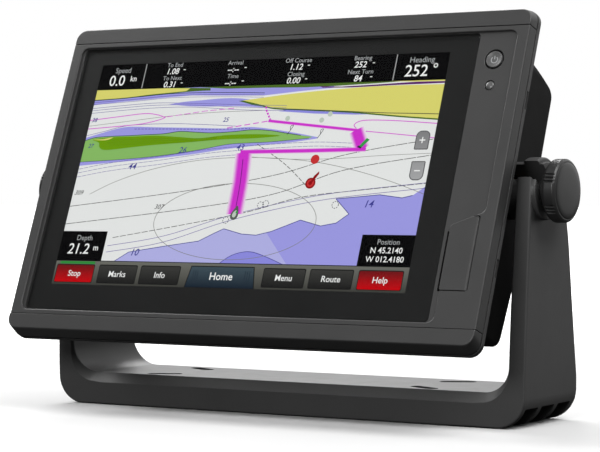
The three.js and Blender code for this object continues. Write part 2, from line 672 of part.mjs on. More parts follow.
// Four slots through the base, turned so that all of them point towards its middle.
function baseHoles() {
  const { width, length, turn } = BASE_HOLES;
  const stadium = rectangle(-length / 2, length / 2, -width / 2, width / 2, width / 2 - 0.01);
  return [-1, 1].flatMap((side) => BASE_HOLES.y.map((y, row) => alongZ(stadium, -1, 30, 3)
    .rotate([0, 0, (row ? 1 : -1) * side * turn]).translate([side * BASE_HOLES.x, y, 0])));
}

function bailBracket() {
  const { halfWidth, inner, front, back, baseTop, chamfer, slotWidth, discRadius, discInner, ringOuter } = BAIL;
  const frame = alongY(bailOutline(), front - 2, back + 6, 4).intersect(alongX(armOutline(), -140, 140, 6));
  const bosses = SIDES.map(([, side]) => pegX(0, PIVOT.height, discRadius,
    ...(side > 0 ? [discInner, ringOuter] : [-ringOuter, -discInner]), 14));
  const slot = alongX(outline([
    [-slotWidth / 2, 0, slotWidth / 2 - 0.01], [slotWidth / 2, 0, slotWidth / 2 - 0.01],
    [slotWidth / 2, 40, 0], [-slotWidth / 2, 40, 0],
  ]), -140, 140, 3);
  const turned = slot.translate([0, 0, -slotWidth / 2]).rotate([45, 0, 0]).translate([0, 0, PIVOT.height]);
  const bevel = alongX(outline([[front - 9, baseTop - chamfer, 0], [front, baseTop - chamfer, 0],
    [front + chamfer, baseTop, 0], [front + chamfer, baseTop + 9, 0], [front - 9, baseTop + 9, 0]]),
  -inner + 13, inner - 13);
  return cut(join([frame, ...bosses]), [turned, bevel, ...underside(), ...baseHoles()]);
}

// The nylon sleeve that rides in the open slot around the knob's stud.
function studSleeve(side) {
  const inner = BAIL.discInner - 0.1;
  const outer = BAIL.ringOuter - GAP;
  const bore = KNOB.stud + GAP;
  const profile = [[inner, bore], [inner, 4.4], [outer, 4.4], [outer, bore], [inner, bore]];
  return mirrored(turnedX(profile, 0, PIVOT.height, 20), side);
}

function mirrored(solid, side) {
  return side > 0 ? solid : solid.rotate([0, 0, 180]);
}

// Pieces that turn with the knobs are drawn about the tilt axis in the display's frame,
// where the axis passes through the origin of the turned group.
function knobWasher() {
  const inner = BAIL.ringOuter + GAP;
  return turnedX([[inner, KNOB.stud + GAP], [inner, 9], [inner + 1.2, 9], [inner + 1.2, KNOB.stud + GAP],
    [inner, KNOB.stud + GAP]], 0, 0, 24);
}

const hexagon = (reach) => new THREE.Shape(Array.from({ length: 6 }, (_, i) => new THREE.Vector2(
  reach * Math.cos((i * Math.PI) / 3), reach * Math.sin((i * Math.PI) / 3))));

function knobGrip() {
  const { inner, outer, radius, face } = KNOB;
  const body = turnedX([[inner, 0], [inner, 10.6], [inner + 1.1, 13], [inner + 2.6, radius],
    [outer - 1.7, radius], [outer - 0.4, face + 0.2], [outer, face - 0.6], [outer, 0]], 0, 0, 36);
  return body.subtract(alongX(hexagon(6), inner - 1, outer - 2.4));
}

function knobStud() {
  const shank = pegX(0, 0, KNOB.stud, KNOB.studEnd, 139, 8);
  return shank.add(alongX(hexagon(5.6), 138.5, KNOB.outer - 2.8));
}

function threadedInsert() {
  const inner = 103;
  const outer = BAIL.discInner - 0.7;
  const bore = KNOB.stud + GAP;
  return turnedX([[inner, bore], [inner, 5.9], [107, 5.9], [107, 5.3], [109, 5.3], [109, 5.9], [112, 5.9],
    [112, 5.3], [114, 5.3], [114, 5.9], [outer, 5.9], [outer, bore], [inner, bore]], 0, 0, 14);
}

// ---------------------------------------------------------------- assembly

function buildDisplay() {
  const display = new THREE.Group();
  const add = (...args) => display.add(piece(...args));
  add('front_bezel', 'casePlastic', frontBezel());
  add('top_trim_cap', 'casePlastic', trimCap(1));
  add('bottom_trim_cap', 'casePlastic', trimCap(-1));
  add('cover_glass', 'glass', coverGlass());
  add('glass_adhesive', 'rubber', glassAdhesive());
  add('lcd_panel', 'display', screenBlock(0, glassBack + GAP, cellBack));
  add('backlight_tray', 'steel', backlightTray());
  add('chassis_plate', 'aluminium', chassisPlate());
  add('power_button', 'rubber', powerButton());
  add('button_seal', 'rubber', buttonSeal());
  add('power_switch', 'nylon', powerSwitch());
  add('button_board', 'board', buttonBoard());
  add('light_sensor_lens', 'lens', sensorLens());
  add('light_sensor_chip', 'nylon', sensorChip());
  add('card_door', 'casePlastic', cardDoor());
  add('card_door_pin', 'steel', cardDoorPin());
  add('card_door_seal', 'rubber', cardDoorSeal());
  add('card_board', 'board', cardBoard());
  ['upper', 'lower'].forEach((place, i) => {
    add(`card_socket_${place}`, 'steel', cardSocket(CARD.z[i]));
    add(`memory_card_${place}`, 'cardPlastic', memoryCard(CARD.z[i]));
  });
  add('housing_gasket', 'rubber', ringY(GASKET.halfWidth, GASKET.halfHeight, GASKET.width, GASKET.corner,
    CASE.back - GASKET.depth, CASE.back));
  add('rear_housing', 'housingPlastic', rearHousing());
  add('pressure_vent', 'nylon', pressureVent());
  Object.entries(PORT_PINS).forEach(([name, pins], i) => {
    add(`port_${name}`, 'steel', port(PORTS.x[i], pins));
    if (i > 1) add(`port_cap_${name}`, 'rubber', portCap(PORTS.x[i]));
  });
  CASE_SCREW.x.forEach((x, i) => {
    [['top', 1], ['bottom', -1]].forEach(([edge, side]) => {
      add(`case_screw_${edge}_${i + 1}`, 'steel', screwY(x, side * CASE_SCREW.z,
        FLANGE.back + GAP, CASE_SCREW.radius, 2.7, 8.6));
    });
  });
  add('main_board', 'board', mainBoard());
  add('shield_can', 'steel', shieldCan());
  add('heat_sink', 'aluminium', heatSink());
  add('gps_antenna', 'ceramic', gpsAntenna());
  BOARD_SCREW.x.forEach((x, i) => {
    [['top', 1], ['bottom', -1]].forEach(([edge, side]) => {
      add(`board_screw_${edge}_${i + 1}`, 'steel', screwY(x, side * BOARD_SCREW.z, boardBack + GAP,
        BOARD_SCREW.radius, 2.2, 5.6));
    });
  });
  display.position.set(0, -PIVOT.y, -PIVOT.z);
  return display;
}

function buildTurning() {
  const turning = new THREE.Group();
  turning.add(buildDisplay());
  SIDES.forEach(([name, side]) => {
    turning.add(piece(`knob_washer_${name}`, 'nylon', mirrored(knobWasher(), side)));
    turning.add(piece(`knob_grip_${name}`, 'knobPlastic', mirrored(knobGrip(), side)));
    turning.add(piece(`knob_stud_${name}`, 'steel', mirrored(knobStud(), side)));
    turning.add(piece(`threaded_insert_${name}`, 'brass', mirrored(threadedInsert(), side)));
  });
  turning.rotation.x = THREE.MathUtils.degToRad(-LEAN);
  turning.position.z = PIVOT.height;
  return turning;
}

const chartplotter = new THREE.Group();
chartplotter.add(piece('bail_bracket', 'bailPlastic', bailBracket()));
SIDES.forEach(([name, side]) => {
  chartplotter.add(piece(`stud_sleeve_${name}`, 'nylon', studSleeve(side)));
});
chartplotter.add(buildTurning());

export default chartplotter;
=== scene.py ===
"""Looks of a chartplotter display on a tilting bail: fine shapes, materials, lights and camera.

Shapes are drawn in millimetres, either in the room's frame or in the display's own frame
(x right, y from the front rim backwards, z up from mid height), and brought to metres at the end.
"""

import json
import math

import bmesh
import bpy
import numpy as np
from mathutils import Matrix, Vector


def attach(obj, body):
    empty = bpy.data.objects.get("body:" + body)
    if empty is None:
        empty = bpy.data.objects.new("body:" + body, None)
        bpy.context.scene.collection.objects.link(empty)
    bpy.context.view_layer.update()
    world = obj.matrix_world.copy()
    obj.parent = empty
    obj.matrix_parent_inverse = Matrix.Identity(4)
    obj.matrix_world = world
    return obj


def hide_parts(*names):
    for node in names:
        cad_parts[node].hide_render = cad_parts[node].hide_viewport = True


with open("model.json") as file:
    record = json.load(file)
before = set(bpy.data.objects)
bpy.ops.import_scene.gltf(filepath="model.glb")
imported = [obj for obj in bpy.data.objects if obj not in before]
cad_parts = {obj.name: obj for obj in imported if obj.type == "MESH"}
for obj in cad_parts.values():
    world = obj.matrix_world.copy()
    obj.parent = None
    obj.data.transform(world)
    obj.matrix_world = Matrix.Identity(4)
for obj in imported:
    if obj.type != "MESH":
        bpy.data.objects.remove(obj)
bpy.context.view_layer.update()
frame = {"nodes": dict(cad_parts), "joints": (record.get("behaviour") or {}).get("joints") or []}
JOINTS = {joint["name"]: joint for joint in frame["joints"]}
NODES = frame["nodes"]
MM = 0.001

# ---------------------------------------------------------------- frames


def node_points(name):
    return np.array([vertex.co for vertex in NODES[name].data.vertices])


def display_frame():
    """The display's own frame in the room, from its door hinge and its bezel."""
    right = Vector((1, 0, 0))
    up = Vector(JOINTS["card_door_open"]["axis"]).normalized()
    back = up.cross(right)
    points = node_points("front_bezel")
    front = float((points @ np.array(back)).min())
    heights = points @ np.array(up)
    middle = float(heights.min() + heights.max()) / 2
    turn = Matrix((right, back, up)).transposed().to_4x4()
    return Matrix.Translation(back * front + up * middle) @ turn @ Matrix.Scale(MM, 4)


LOCAL = display_frame()
ROOM = Matrix.Scale(MM, 4)
AXIS_HEIGHT = JOINTS["display_tilt"]["pos_m"][2] / MM
PIVOT = LOCAL.inverted() @ Vector(JOINTS["display_tilt"]["pos_m"])


def local_box(name):
    """A node's lowest and highest corner in the display's own frame, in millimetres."""
    points = [LOCAL.inverted() @ vertex.co for vertex in NODES[name].data.vertices]
    spans = list(zip(*points))
    return [min(s) for s in spans], [max(s) for s in spans]


# ---------------------------------------------------------------- outlines


def rounded(corners, step=7.5, closed=True):
    """Points along an outline of (u, v, radius) corners, with an arc at each one that has a radius."""
    out = []
    count = len(corners)
    for i, corner in enumerate(corners):
        here = Vector(corner[:2])
        radius = corner[2] if len(corner) > 2 else 0
        if radius <= 0 or (not closed and i in (0, count - 1)):
            out.append(tuple(here))
            continue
        before = (Vector(corners[i - 1][:2]) - here).normalized()
        after = (Vector(corners[(i + 1) % count][:2]) - here).normalized()
        half = math.acos(max(-1.0, min(1.0, before.dot(after)))) / 2
        reach = radius / math.tan(half)
        centre = here + (before + after).normalized() * (radius / math.sin(half))
        first = here + before * reach - centre
        last = here + after * reach - centre
        start = math.atan2(first.y, first.x)
        sweep = (math.atan2(last.y, last.x) - start + math.pi) % (2 * math.pi) - math.pi
        pieces = max(2, round(abs(math.degrees(sweep)) / step))
        for k in range(pieces + 1):
            angle = start + sweep * k / pieces
            out.append((centre.x + radius * math.cos(angle), centre.y + radius * math.sin(angle)))
    return out


def rectangle(u0, u1, v0, v1, radius=0.0, step=7.5):
    return rounded([(u0, v0, radius), (u1, v0, radius), (u1, v1, radius), (u0, v1, radius)], step)


def arc(u, v, radius, start, end, count, endpoint=True):
    angles = np.linspace(start, end, count, endpoint=endpoint)
    return [(u + radius * math.cos(a), v + radius * math.sin(a)) for a in angles]


def disc(u, v, radius, count=64):
    return arc(u, v, radius, 0, 2 * math.pi, count, endpoint=False)


def grown(points, amount, closed=True):
    """An anticlockwise outline moved outwards by amount, or inwards if it is negative."""
    p = np.array(points, float)
    ahead = np.roll(p, -1, axis=0) - p
    if not closed:
        ahead[-1] = ahead[-2]
    ahead /= np.maximum(np.linalg.norm(ahead, axis=1), 1e-12)[:, None]
    normal = np.stack([ahead[:, 1], -ahead[:, 0]], axis=1)
    before = np.roll(normal, 1, axis=0)
    if not closed:
        before[0] = normal[0]
    total = normal + before
    total /= np.maximum(1 + (normal * before).sum(axis=1), 0.3)[:, None]
    return [tuple(q) for q in p + total * amount]


def edge(radius, steps=4):
    """(depth, inset) pairs over a rounded edge, from its face to its wall."""
    angles = np.linspace(0, math.pi / 2, steps + 1)
    return [(radius * (1 - math.cos(a)), radius * (1 - math.sin(a))) for a in angles]


def smooth(points, pieces=8, closed=False):
    """A Catmull-Rom curve through the points."""
    p = [Vector(q) for q in points]
    count = len(p)
    out = []
    for i in range(count if closed else count - 1):
        a = p[i - 1] if closed or i > 0 else p[0]
        b, c = p[i], p[(i + 1) % count]
        d = p[(i + 2) % count] if closed or i + 2 < count else p[-1]
        for k in range(pieces):
            t = k / pieces
            out.append(tuple(0.5 * (2 * b + (c - a) * t + (2 * a - 5 * b + 4 * c - d) * t * t
                                    + (3 * b - a - 3 * c + d) * t ** 3)))
    if not closed:
        out.append(tuple(p[-1]))
    return out


# ---------------------------------------------------------------- closed meshes

PLACE = {
    "X": lambda depth, u, v: (depth, u, v),
    "Y": lambda depth, u, v: (u, depth, v),
    "Z": lambda depth, u, v: (u, v, depth),
}


def skin(rings, capped=True, looped=False):
    """A closed mesh through rings of points that all have the same count."""
    mesh = bmesh.new()
    rows = [[mesh.verts.new(point) for point in ring] for ring in rings]
    pairs = list(zip(rows, rows[1:])) + ([(rows[-1], rows[0])] if looped else [])
    for a, b in pairs:
        for i in range(len(a)):
            mesh.faces.new((a[i - 1], a[i], b[i], b[i - 1]))
    if capped and not looped:
        mesh.faces.new(rows[0])
        mesh.faces.new(list(reversed(rows[-1])))
    bmesh.ops.remove_doubles(mesh, verts=mesh.verts, dist=1e-4)
    bmesh.ops.dissolve_degenerate(mesh, edges=mesh.edges, dist=1e-5)
    bmesh.ops.delete(mesh, geom=[e for e in mesh.edges if e.is_wire], context="EDGES")
    bmesh.ops.recalc_face_normals(mesh, faces=mesh.faces)
    return mesh


def stack(levels, axis="Y"):
    """A solid through (depth, outline) levels."""
    return skin([[PLACE[axis](depth, u, v) for u, v in points] for depth, points in levels])


def slab(points, low, high, low_round=0.0, high_round=0.0, axis="Y", steps=4):
    """An extruded outline with rounded edges at its two ends."""
    first = [(low + d, -i) for d, i in edge(low_round, steps)] if low_round else [(low, 0)]
    last = [(high - d, -i) for d, i in edge(high_round, steps)] if high_round else [(high, 0)]
    return stack([(depth, grown(points, inset)) for depth, inset in first + last[::-1]], axis)


def opening(points, surface, floor, flare=0.3, axis="Y", steps=4):
    """A cutter that goes in at surface and ends at floor, and leaves a rounded rim."""
    way = 1 if floor > surface else -1
    levels = [(surface - way * 3, grown(points, flare)), (surface - way * 0.01, grown(points, flare))]
    levels += [(surface + way * (d + 0.01), grown(points, i)) for d, i in edge(flare, steps)[1:]]
    levels.append((floor, points))
    return stack(levels, axis)


def turned(profile, axis="Y", centre=(0.0, 0.0), segments=64, looped=False, radial=None):
    """A turned solid from (along, radius) points; radial(along, radius, angle) changes the radius."""
    rings = []
    for along, radius in profile:
        ring = []
        for k in range(segments):
            angle = 2 * math.pi * k / segments
            reach = radial(along, radius, angle) if radial else radius
            ring.append(PLACE[axis](along, centre[0] + reach * math.cos(angle),
                                    centre[1] + reach * math.sin(angle)))
        rings.append(ring)
    return skin(rings, looped=looped)


def box(x0, x1, y0, y1, z0, z1, bevel=0.0):
    mesh = slab([(x0, z0), (x1, z0), (x1, z1), (x0, z1)], y0, y1)
    if bevel:
        bmesh.ops.bevel(mesh, geom=mesh.edges[:], offset=bevel, segments=2, affect="EDGES", profile=0.5)
    return mesh


def together(meshes):
    """Several meshes as one, without joining their surfaces."""
    whole = bmesh.new()
    for mesh in meshes:
        data = bpy.data.meshes.new("part")
        mesh.to_mesh(data)
        mesh.free()
        whole.from_mesh(data)
        bpy.data.meshes.remove(data)
    return whole


def as_object(mesh, name):
    data = bpy.data.meshes.new(name)
    mesh.to_mesh(data)
    mesh.free()
    obj = bpy.data.objects.new(name, data)
    bpy.context.scene.collection.objects.link(obj)
    return obj


def drop(obj):
    data = obj.data
    bpy.data.objects.remove(obj)
    bpy.data.meshes.remove(data)


def combine(base, tools, operation="DIFFERENCE"):
    """The exact boolean of a closed mesh with each tool in turn, as a new mesh."""
    body = as_object(base, "body")
    others = [as_object(tool, "tool") for tool in tools]
    for other in others:
        change = body.modifiers.new("change", "BOOLEAN")
        change.operation = operation
        change.solver = "EXACT"
        change.object = other
    graph = bpy.context.evaluated_depsgraph_get()
    data = bpy.data.meshes.new_from_object(body.evaluated_get(graph))
    result = bmesh.new()
    result.from_mesh(data)
    bpy.data.meshes.remove(data)
    for obj in [body, *others]:
        drop(obj)
    return result


def soften_seam(mesh, height):
    """Bevels the sharp edges that lie at a height above or below the middle."""
    mesh.normal_update()
    edges = [e for e in mesh.edges if e.calc_face_angle(0.0) > 0.5
             and all(abs(abs(v.co.z) - height) < 1e-3 for v in e.verts)]
    bmesh.ops.bevel(mesh, geom=edges, offset=0.22, segments=2, affect="EDGES", profile=0.5,
                    clamp_overlap=True)
    return mesh


def show(mesh, name, body, finish, *nodes, slot=None, matrix=LOCAL, sharp=38.0, weld=2e-3):
    """Makes a piece of a mesh, brings it to metres, rides it on its body and stands it for its nodes."""
    bmesh.ops.remove_doubles(mesh, verts=mesh.verts, dist=weld)
    bmesh.ops.recalc_face_normals(mesh, faces=mesh.faces)
    mesh.transform(matrix)
    obj = as_object(mesh, name)
    obj.data.name = name
    obj.data.shade_smooth()
    obj.data.set_sharp_from_angle(angle=math.radians(sharp))
    even = obj.modifiers.new("even normals", "WEIGHTED_NORMAL")
    even.keep_sharp = True
    even.weight = 60
    obj.data.materials.append(finish)
    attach(obj, body)
    if nodes:
        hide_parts(*nodes)
    return obj


# ---------------------------------------------------------------- materials

WHITE = (1, 1, 1, 1)
GRAIN_PITCH = 0.45


def linear(colour):
    """A linear colour from display levels of 0 to 255."""
    shares = [level / 255 for level in colour]
    return (*[c / 12.92 if c <= 0.04045 else ((c + 0.055) / 1.055) ** 2.4 for c in shares], 1.0)


def grey(level):
    return linear((level, level, level))


def scaled(colour, factor):
    return (colour[0] * factor, colour[1] * factor, colour[2] * factor, 1.0)


class Nodes:
    """Short names for the nodes of one shader tree."""

    def __init__(self, tree, coordinates="Object"):
        self.tree = tree
        self.place = self.add("ShaderNodeTexCoord").outputs[coordinates]

    def feed(self, socket, value):
        """Links a socket to another node's output, or sets it to a constant."""
        if hasattr(value, "links"):
            self.tree.links.new(value, socket)
        else:
            socket.default_value = value

    def add(self, kind, inputs=None, **settings):
        node = self.tree.nodes.new(kind)
        for key, value in settings.items():
            setattr(node, key, value)
        for key, value in (inputs or {}).items():
            self.feed(node.inputs[key], value)
        return node

    def noise(self, scale, detail=3.0, roughness=0.5, stretch=None):
        place = self.place
        if stretch:
            place = self.add("ShaderNodeMapping", {"Scale": stretch, "Vector": place}).outputs["Vector"]
        inputs = {"Scale": scale, "Detail": detail, "Roughness": roughness, "Vector": place}
        return self.add("ShaderNodeTexNoise", inputs).outputs["Fac"]

    def ramp(self, source, low, high, start=0.3, end=0.7, **settings):
        """Runs from low to high as the source goes from start to end."""
        inputs = {"Value": source, "From Min": start, "From Max": end, "To Min": low, "To Max": high}
        return self.add("ShaderNodeMapRange", inputs, **settings).outputs["Result"]

    def blend(self, factor, a, b, **settings):
        return self.add("ShaderNodeMix", {0: factor, 6: a, 7: b}, data_type="RGBA", **settings).outputs[2]

    def mix(self, factor, a, b):
        """A blend of two shaders."""
        return self.add("ShaderNodeMixShader", {0: factor, 1: a.outputs[0], 2: b.outputs[0]}).outputs[0]

    def product(self, a, b):
        return self.add("ShaderNodeMath", {0: a, 1: b}, operation="MULTIPLY").outputs[0]

    def along(self, direction):
        """How far a place lies along a direction."""
        dot = self.add("ShaderNodeVectorMath", {0: self.place, 1: direction}, operation="DOT_PRODUCT")
        return dot.outputs["Value"]

    def camera_ray(self):
        return self.add("ShaderNodeLightPath").outputs["Is Camera Ray"]

    def bump(self, height, distance, strength=1.0, below=None):
        node = self.add("ShaderNodeBump", {"Height": height, "Distance": distance, "Strength": strength})
        if below:
            self.feed(node.inputs["Normal"], below)
        return node.outputs["Normal"]


class Finish(Nodes):
    """The nodes of one material."""

    def __init__(self, name):
        self.material = bpy.data.materials.new(name)
        self.material.use_nodes = True
        super().__init__(self.material.node_tree)
        self.shader = next(n for n in self.tree.nodes if n.type == "BSDF_PRINCIPLED")

    def set(self, **values):
        for key, value in values.items():
            self.feed(self.shader.inputs[key.replace("_", " ")], value)
        return self.material


def moulded(name, colour, roughness, grain=0.02, sheen=0.5):
    """Moulded plastic: spark-eroded grain, faint flow clouds and slightly uneven gloss."""
    n = Finish(name)
    base = n.blend(n.ramp(n.noise(38, 4, 0.6), 0, 1), scaled(colour, 0.94), scaled(colour, 1.06))
    tint = n.blend(n.ramp(n.noise(2600, 2, 0.6), 0, 0.35, 0.45, 0.75), base, scaled(colour, 1.35))
    fine = n.noise(1000 / GRAIN_PITCH, 2, 0.55)
    coarse = n.noise(420 / GRAIN_PITCH, 3, 0.5)
    normal = n.bump(fine, grain * MM, 0.8, n.bump(coarse, grain * 1.6 * MM, 0.5))
    rough = n.ramp(n.noise(90, 3), roughness - 0.02, roughness + 0.02)
    return n.set(Base_Color=tint, Roughness=rough, Normal=normal, Specular_IOR_Level=sheen)


def mottled(name, shades, cloud, gloss, gloss_span, relief=None, depth=0.0, **levels):
    """A finish that drifts between two shades, with uneven gloss and, if wanted, a fine relief."""
    n = Finish(name)
    if relief:
        levels["Normal"] = n.bump(n.noise(*relief), depth * MM)
    return n.set(Base_Color=n.blend(n.ramp(n.noise(*cloud), 0, 1), *shades),
                 Roughness=n.ramp(n.noise(*gloss), *gloss_span), **levels)


def polymer(name, colour, roughness, grain=0.03):
    """Rubber or nylon: a matt skin with fine mottling."""
    return mottled(name, (scaled(colour, 0.82), scaled(colour, 1.22)), (260, 5, 0.65), (300, 3),
                   (roughness - 0.08, roughness + 0.08), (1500, 3), grain, Specular_IOR_Level=0.4)


def printed_black(name):
    """Black enamel printed on the back of the glass."""
    return mottled(name, ((0.003, 0.003, 0.0033, 1), (0.005, 0.005, 0.0053, 1)), (30, 4), (600, 2),
                   (0.32, 0.4), Specular_IOR_Level=0.25)


def metal(name, colour, roughness):
    """Drawn or turned metal: fine lines, small stains and uneven gloss."""
    n = Finish(name)
    lines = n.noise(120, 6, 0.7, (1, 60, 1))
    tint = n.blend(n.ramp(n.noise(70, 4, 0.6), 0, 1), scaled(colour, 0.86), scaled(colour, 1.06))
    rough = n.ramp(lines, roughness - 0.08, roughness + 0.12)
    return n.set(Base_Color=tint, Roughness=rough, Normal=n.bump(lines, 0.008 * MM), Metallic=1.0)


def tilt_degrees():
    """How far the display leans back at rest."""
    up = JOINTS["card_door_open"]["axis"]
    return math.degrees(math.atan2(up[1], up[2]))


def circuit_board(name):
    """Solder mask over copper tracks and pads."""
    n = Finish(name)
    level = n.add("ShaderNodeMapping", {"Rotation": (math.radians(90 - tilt_degrees()), 0, 0),
                                        "Vector": n.place})
    tracks = n.add("ShaderNodeTexBrick", {
        "Scale": 90.0, "Mortar Size": 0.06, "Brick Width": 0.6, "Row Height": 0.2,
        "Color1": (0.012, 0.075, 0.028, 1), "Color2": (0.010, 0.060, 0.024, 1),
        "Mortar": (0.03, 0.15, 0.05, 1), "Vector": level.outputs["Vector"]}, offset=0.5)
    pads = n.add("ShaderNodeTexVoronoi", {"Scale": 260, "Vector": n.place})
    pad = n.ramp(pads.outputs["Distance"], 1, 0, 0.1, 0.14)
    return n.set(Base_Color=n.blend(pad, tracks.outputs["Color"], (0.55, 0.53, 0.45, 1)),
                 Roughness=n.ramp(n.noise(200), 0.3, 0.45),
                 Normal=n.bump(tracks.outputs["Fac"], 0.02 * MM))


def clear_glass(name):
    """The cover glass: see-through, with a surface sheen and a trace of smears."""
    n = Finish(name)
    through = n.add("ShaderNodeBsdfTransparent", {"Color": (0.97, 0.975, 0.97, 1)})
    sheen = n.add("ShaderNodeBsdfGlossy", {"Roughness": n.ramp(n.noise(25, 5, 0.7), 0.10, 0.20),
                                           "Normal": n.bump(n.noise(60, 3), 0.004 * MM)})
    fresnel = n.add("ShaderNodeFresnel", {"IOR": 1.24}).outputs["Fac"]
    outward = n.ramp(n.add("ShaderNodeNewGeometry").outputs["Backfacing"], 1, 0, 0, 1)
    surface = next(node for node in n.tree.nodes if node.type == "OUTPUT_MATERIAL").inputs["Surface"]
    n.feed(surface, n.mix(n.product(fresnel, outward), through, sheen))
    n.tree.nodes.remove(n.shader)
    return n.material


def lit(name, colour, second=None, span=None, glow=0.82):
    """A lit area of the screen, also used as a painted glow on the power button's mark; with a second colour
    it shades upwards over span, in the display's z.
    """
    n = Finish(name)
    tint = linear(colour)
    if second:
        up = (LOCAL.to_3x3() @ Vector((0, 0, 1))) / MM
        base = (LOCAL @ Vector((0, 0, 0))).dot(up)
        low, high = (base + z * MM for z in span)
        tint = n.blend(n.ramp(n.along(up), 0, 1, low, high), tint, linear(second))
    light = n.blend(1.0, tint, n.ramp(n.noise(16, 2), 0.985, 1.0), blend_type="MULTIPLY")
    skin_tint = n.blend(1.0, light, (0.12, 0.12, 0.12, 1), blend_type="MULTIPLY")
    return n.set(Base_Color=skin_tint, Emission_Color=light, Emission_Strength=glow, Roughness=0.6,
                 Specular_IOR_Level=0.0)


CASE_FINISH = moulded("case_plastic", grey(50), 0.42)
HOUSING_FINISH = moulded("housing_plastic", grey(9), 0.5, grain=0.03, sheen=0.08)
BAIL_FINISH = moulded("bail_plastic", grey(66), 0.46, grain=0.022)
KNOB_FINISH = moulded("knob_plastic", grey(42), 0.37)
BUTTON_FINISH = polymer("button_rubber", grey(84), 0.42, 0.006)
RUBBER = polymer("rubber", (0.008, 0.008, 0.008, 1), 0.72)
NYLON = polymer("nylon", (0.012, 0.012, 0.012, 1), 0.48)
CARD_PLASTIC = polymer("card_plastic", (0.007, 0.007, 0.008, 1), 0.38, 0.015)
CARD_LABEL = polymer("card_label", (0.12, 0.2, 0.33, 1), 0.5, 0.008)
STEEL = metal("steel", (0.58, 0.58, 0.59, 1), 0.32)
BRASS = metal("brass", (0.72, 0.5, 0.2, 1), 0.3)
ALUMINIUM = metal("aluminium", (0.7, 0.71, 0.72, 1), 0.42)
BOARD = circuit_board("circuit_board")
CERAMIC = mottled("ceramic", ((0.42, 0.33, 0.2, 1), (0.56, 0.47, 0.31, 1)), (900, 5), (400,), (0.45, 0.65),
                  (1200,), 0.02)
GLASS = clear_glass("cover_glass")
LENS = mottled("sensor_lens", (grey(70), grey(92)), (500, 3), (150,), (0.3, 0.42), Coat_Weight=0.25,
               Coat_Roughness=0.15)
PRINT = printed_black("glass_print")
CELL = printed_black("display_cell")
# the power symbol's light grey with a painted glow, which keeps it bright whatever the lamps do
MARK_WITH_PAINTED_GLOW = lit("button_mark_painted_glow", (206, 208, 210), glow=0.55)

# ---------------------------------------------------------------- case

SIDES = (-1, 1)
HALF_WIDTH, HALF_HEIGHT, CASE_CORNER = 128.0, 81.3, 6.0
SEAM = 71.2  # height of the line where the trim caps start
GAP = 0.3  # clearance between parts that meet
FRONT_DEPTH, LIP_FRONT, CASE_BACK = 6.6, 7.2, 9.7
RECESS = 1.0  # depth of the recess that holds the glass
RECESS_X, RECESS_Z = 122.0, 68.8
STEP_X, STEP_Z, STEP_SLOPE = 106.2, -23.9, 0.4088  # the raised corner's left edge and its diagonal top
BEHIND = 12.0  # a depth behind the bezel, where its through cuts end
WIDE = 150.0  # beyond the case on either side
SCREW_X, SCREW_Z, SCREW_BORE = (-100, -34, 34, 100), 74.2, 1.8
CLIP_X, CLIP_Z = (-67, 0, 67), 75.5
FLUSH_X, FLUSH_Z = (-121.0, 121.0), 73.5
HINGE_X, HINGE_Y, HINGE_BORE = 118.0, 1.9, 0.8
DOOR_FLAT = 116.1  # where the door's diagonal top turns level
BUTTON_AT, SENSOR_AT = (112.3, 55.3), (112.3, 42.7)
BUTTON_FACE = 0.72  # depth of the button's rim behind the case's front


def case_outline(depth, grow=0.0):
    """The drafted case at a depth behind its front rim."""
    share = max(0.0, (FRONT_DEPTH - depth) / FRONT_DEPTH)
    w, h = HALF_WIDTH - 0.3 * share, HALF_HEIGHT - 2.2 * share
    return grown(rectangle(-w, w, -h, h, CASE_CORNER - 0.4 * share), grow)


def case_front(front, back):
    levels = [(front + d, case_outline(front + d, -i)) for d, i in edge(0.6, 5)]
    levels += [(front + (back - front) * s, case_outline(front + (back - front) * s)) for s in (0.5, 0.94)]
    levels.append((back, case_outline(back, -0.3)))
    return stack(levels)


def node_outline(name, grow, corner):
    """A rounded rectangle about a node, seen from the front."""
    low, high = local_box(name)
    return rectangle(low[0] - grow, high[0] + grow, low[2] - grow, high[2] + grow, corner)


def diagonal(x):
    return STEP_Z + STEP_SLOPE * (x - STEP_X)


def recess_outline():
    return rounded([(-RECESS_X, -RECESS_Z, 3.5), (STEP_X, -RECESS_Z, 3.5), (STEP_X, STEP_Z, 2.5),
                    (RECESS_X, diagonal(RECESS_X), 3.5), (RECESS_X, RECESS_Z, 3.5),
                    (-RECESS_X, RECESS_Z, 3.5)])


def door_outline(grow=0.0):
    low, high = local_box("card_door")
    top = diagonal(DOOR_FLAT)
    return grown(rounded([(low[0], low[2], 0.9), (high[0], low[2], 0.5), (high[0], top, 0.5),
                          (DOOR_FLAT, top, 0.8), (low[0], diagonal(low[0]), 1.8)]), grow)


def thread(start, end, pitch, ridge):
    """Profile points of a thread: the ridge's (along, radius) points at every pitch."""
    return [(turn + along, radius) for turn in np.arange(start, end, pitch) for along, radius in ridge]


def peg(x, z, radius, low, high, count=32):
    return slab(disc(x, z, radius, count), low, high)


def both_ways(a, b):
    """A span and its mirror image."""
    return (a, b), (-b, -a)


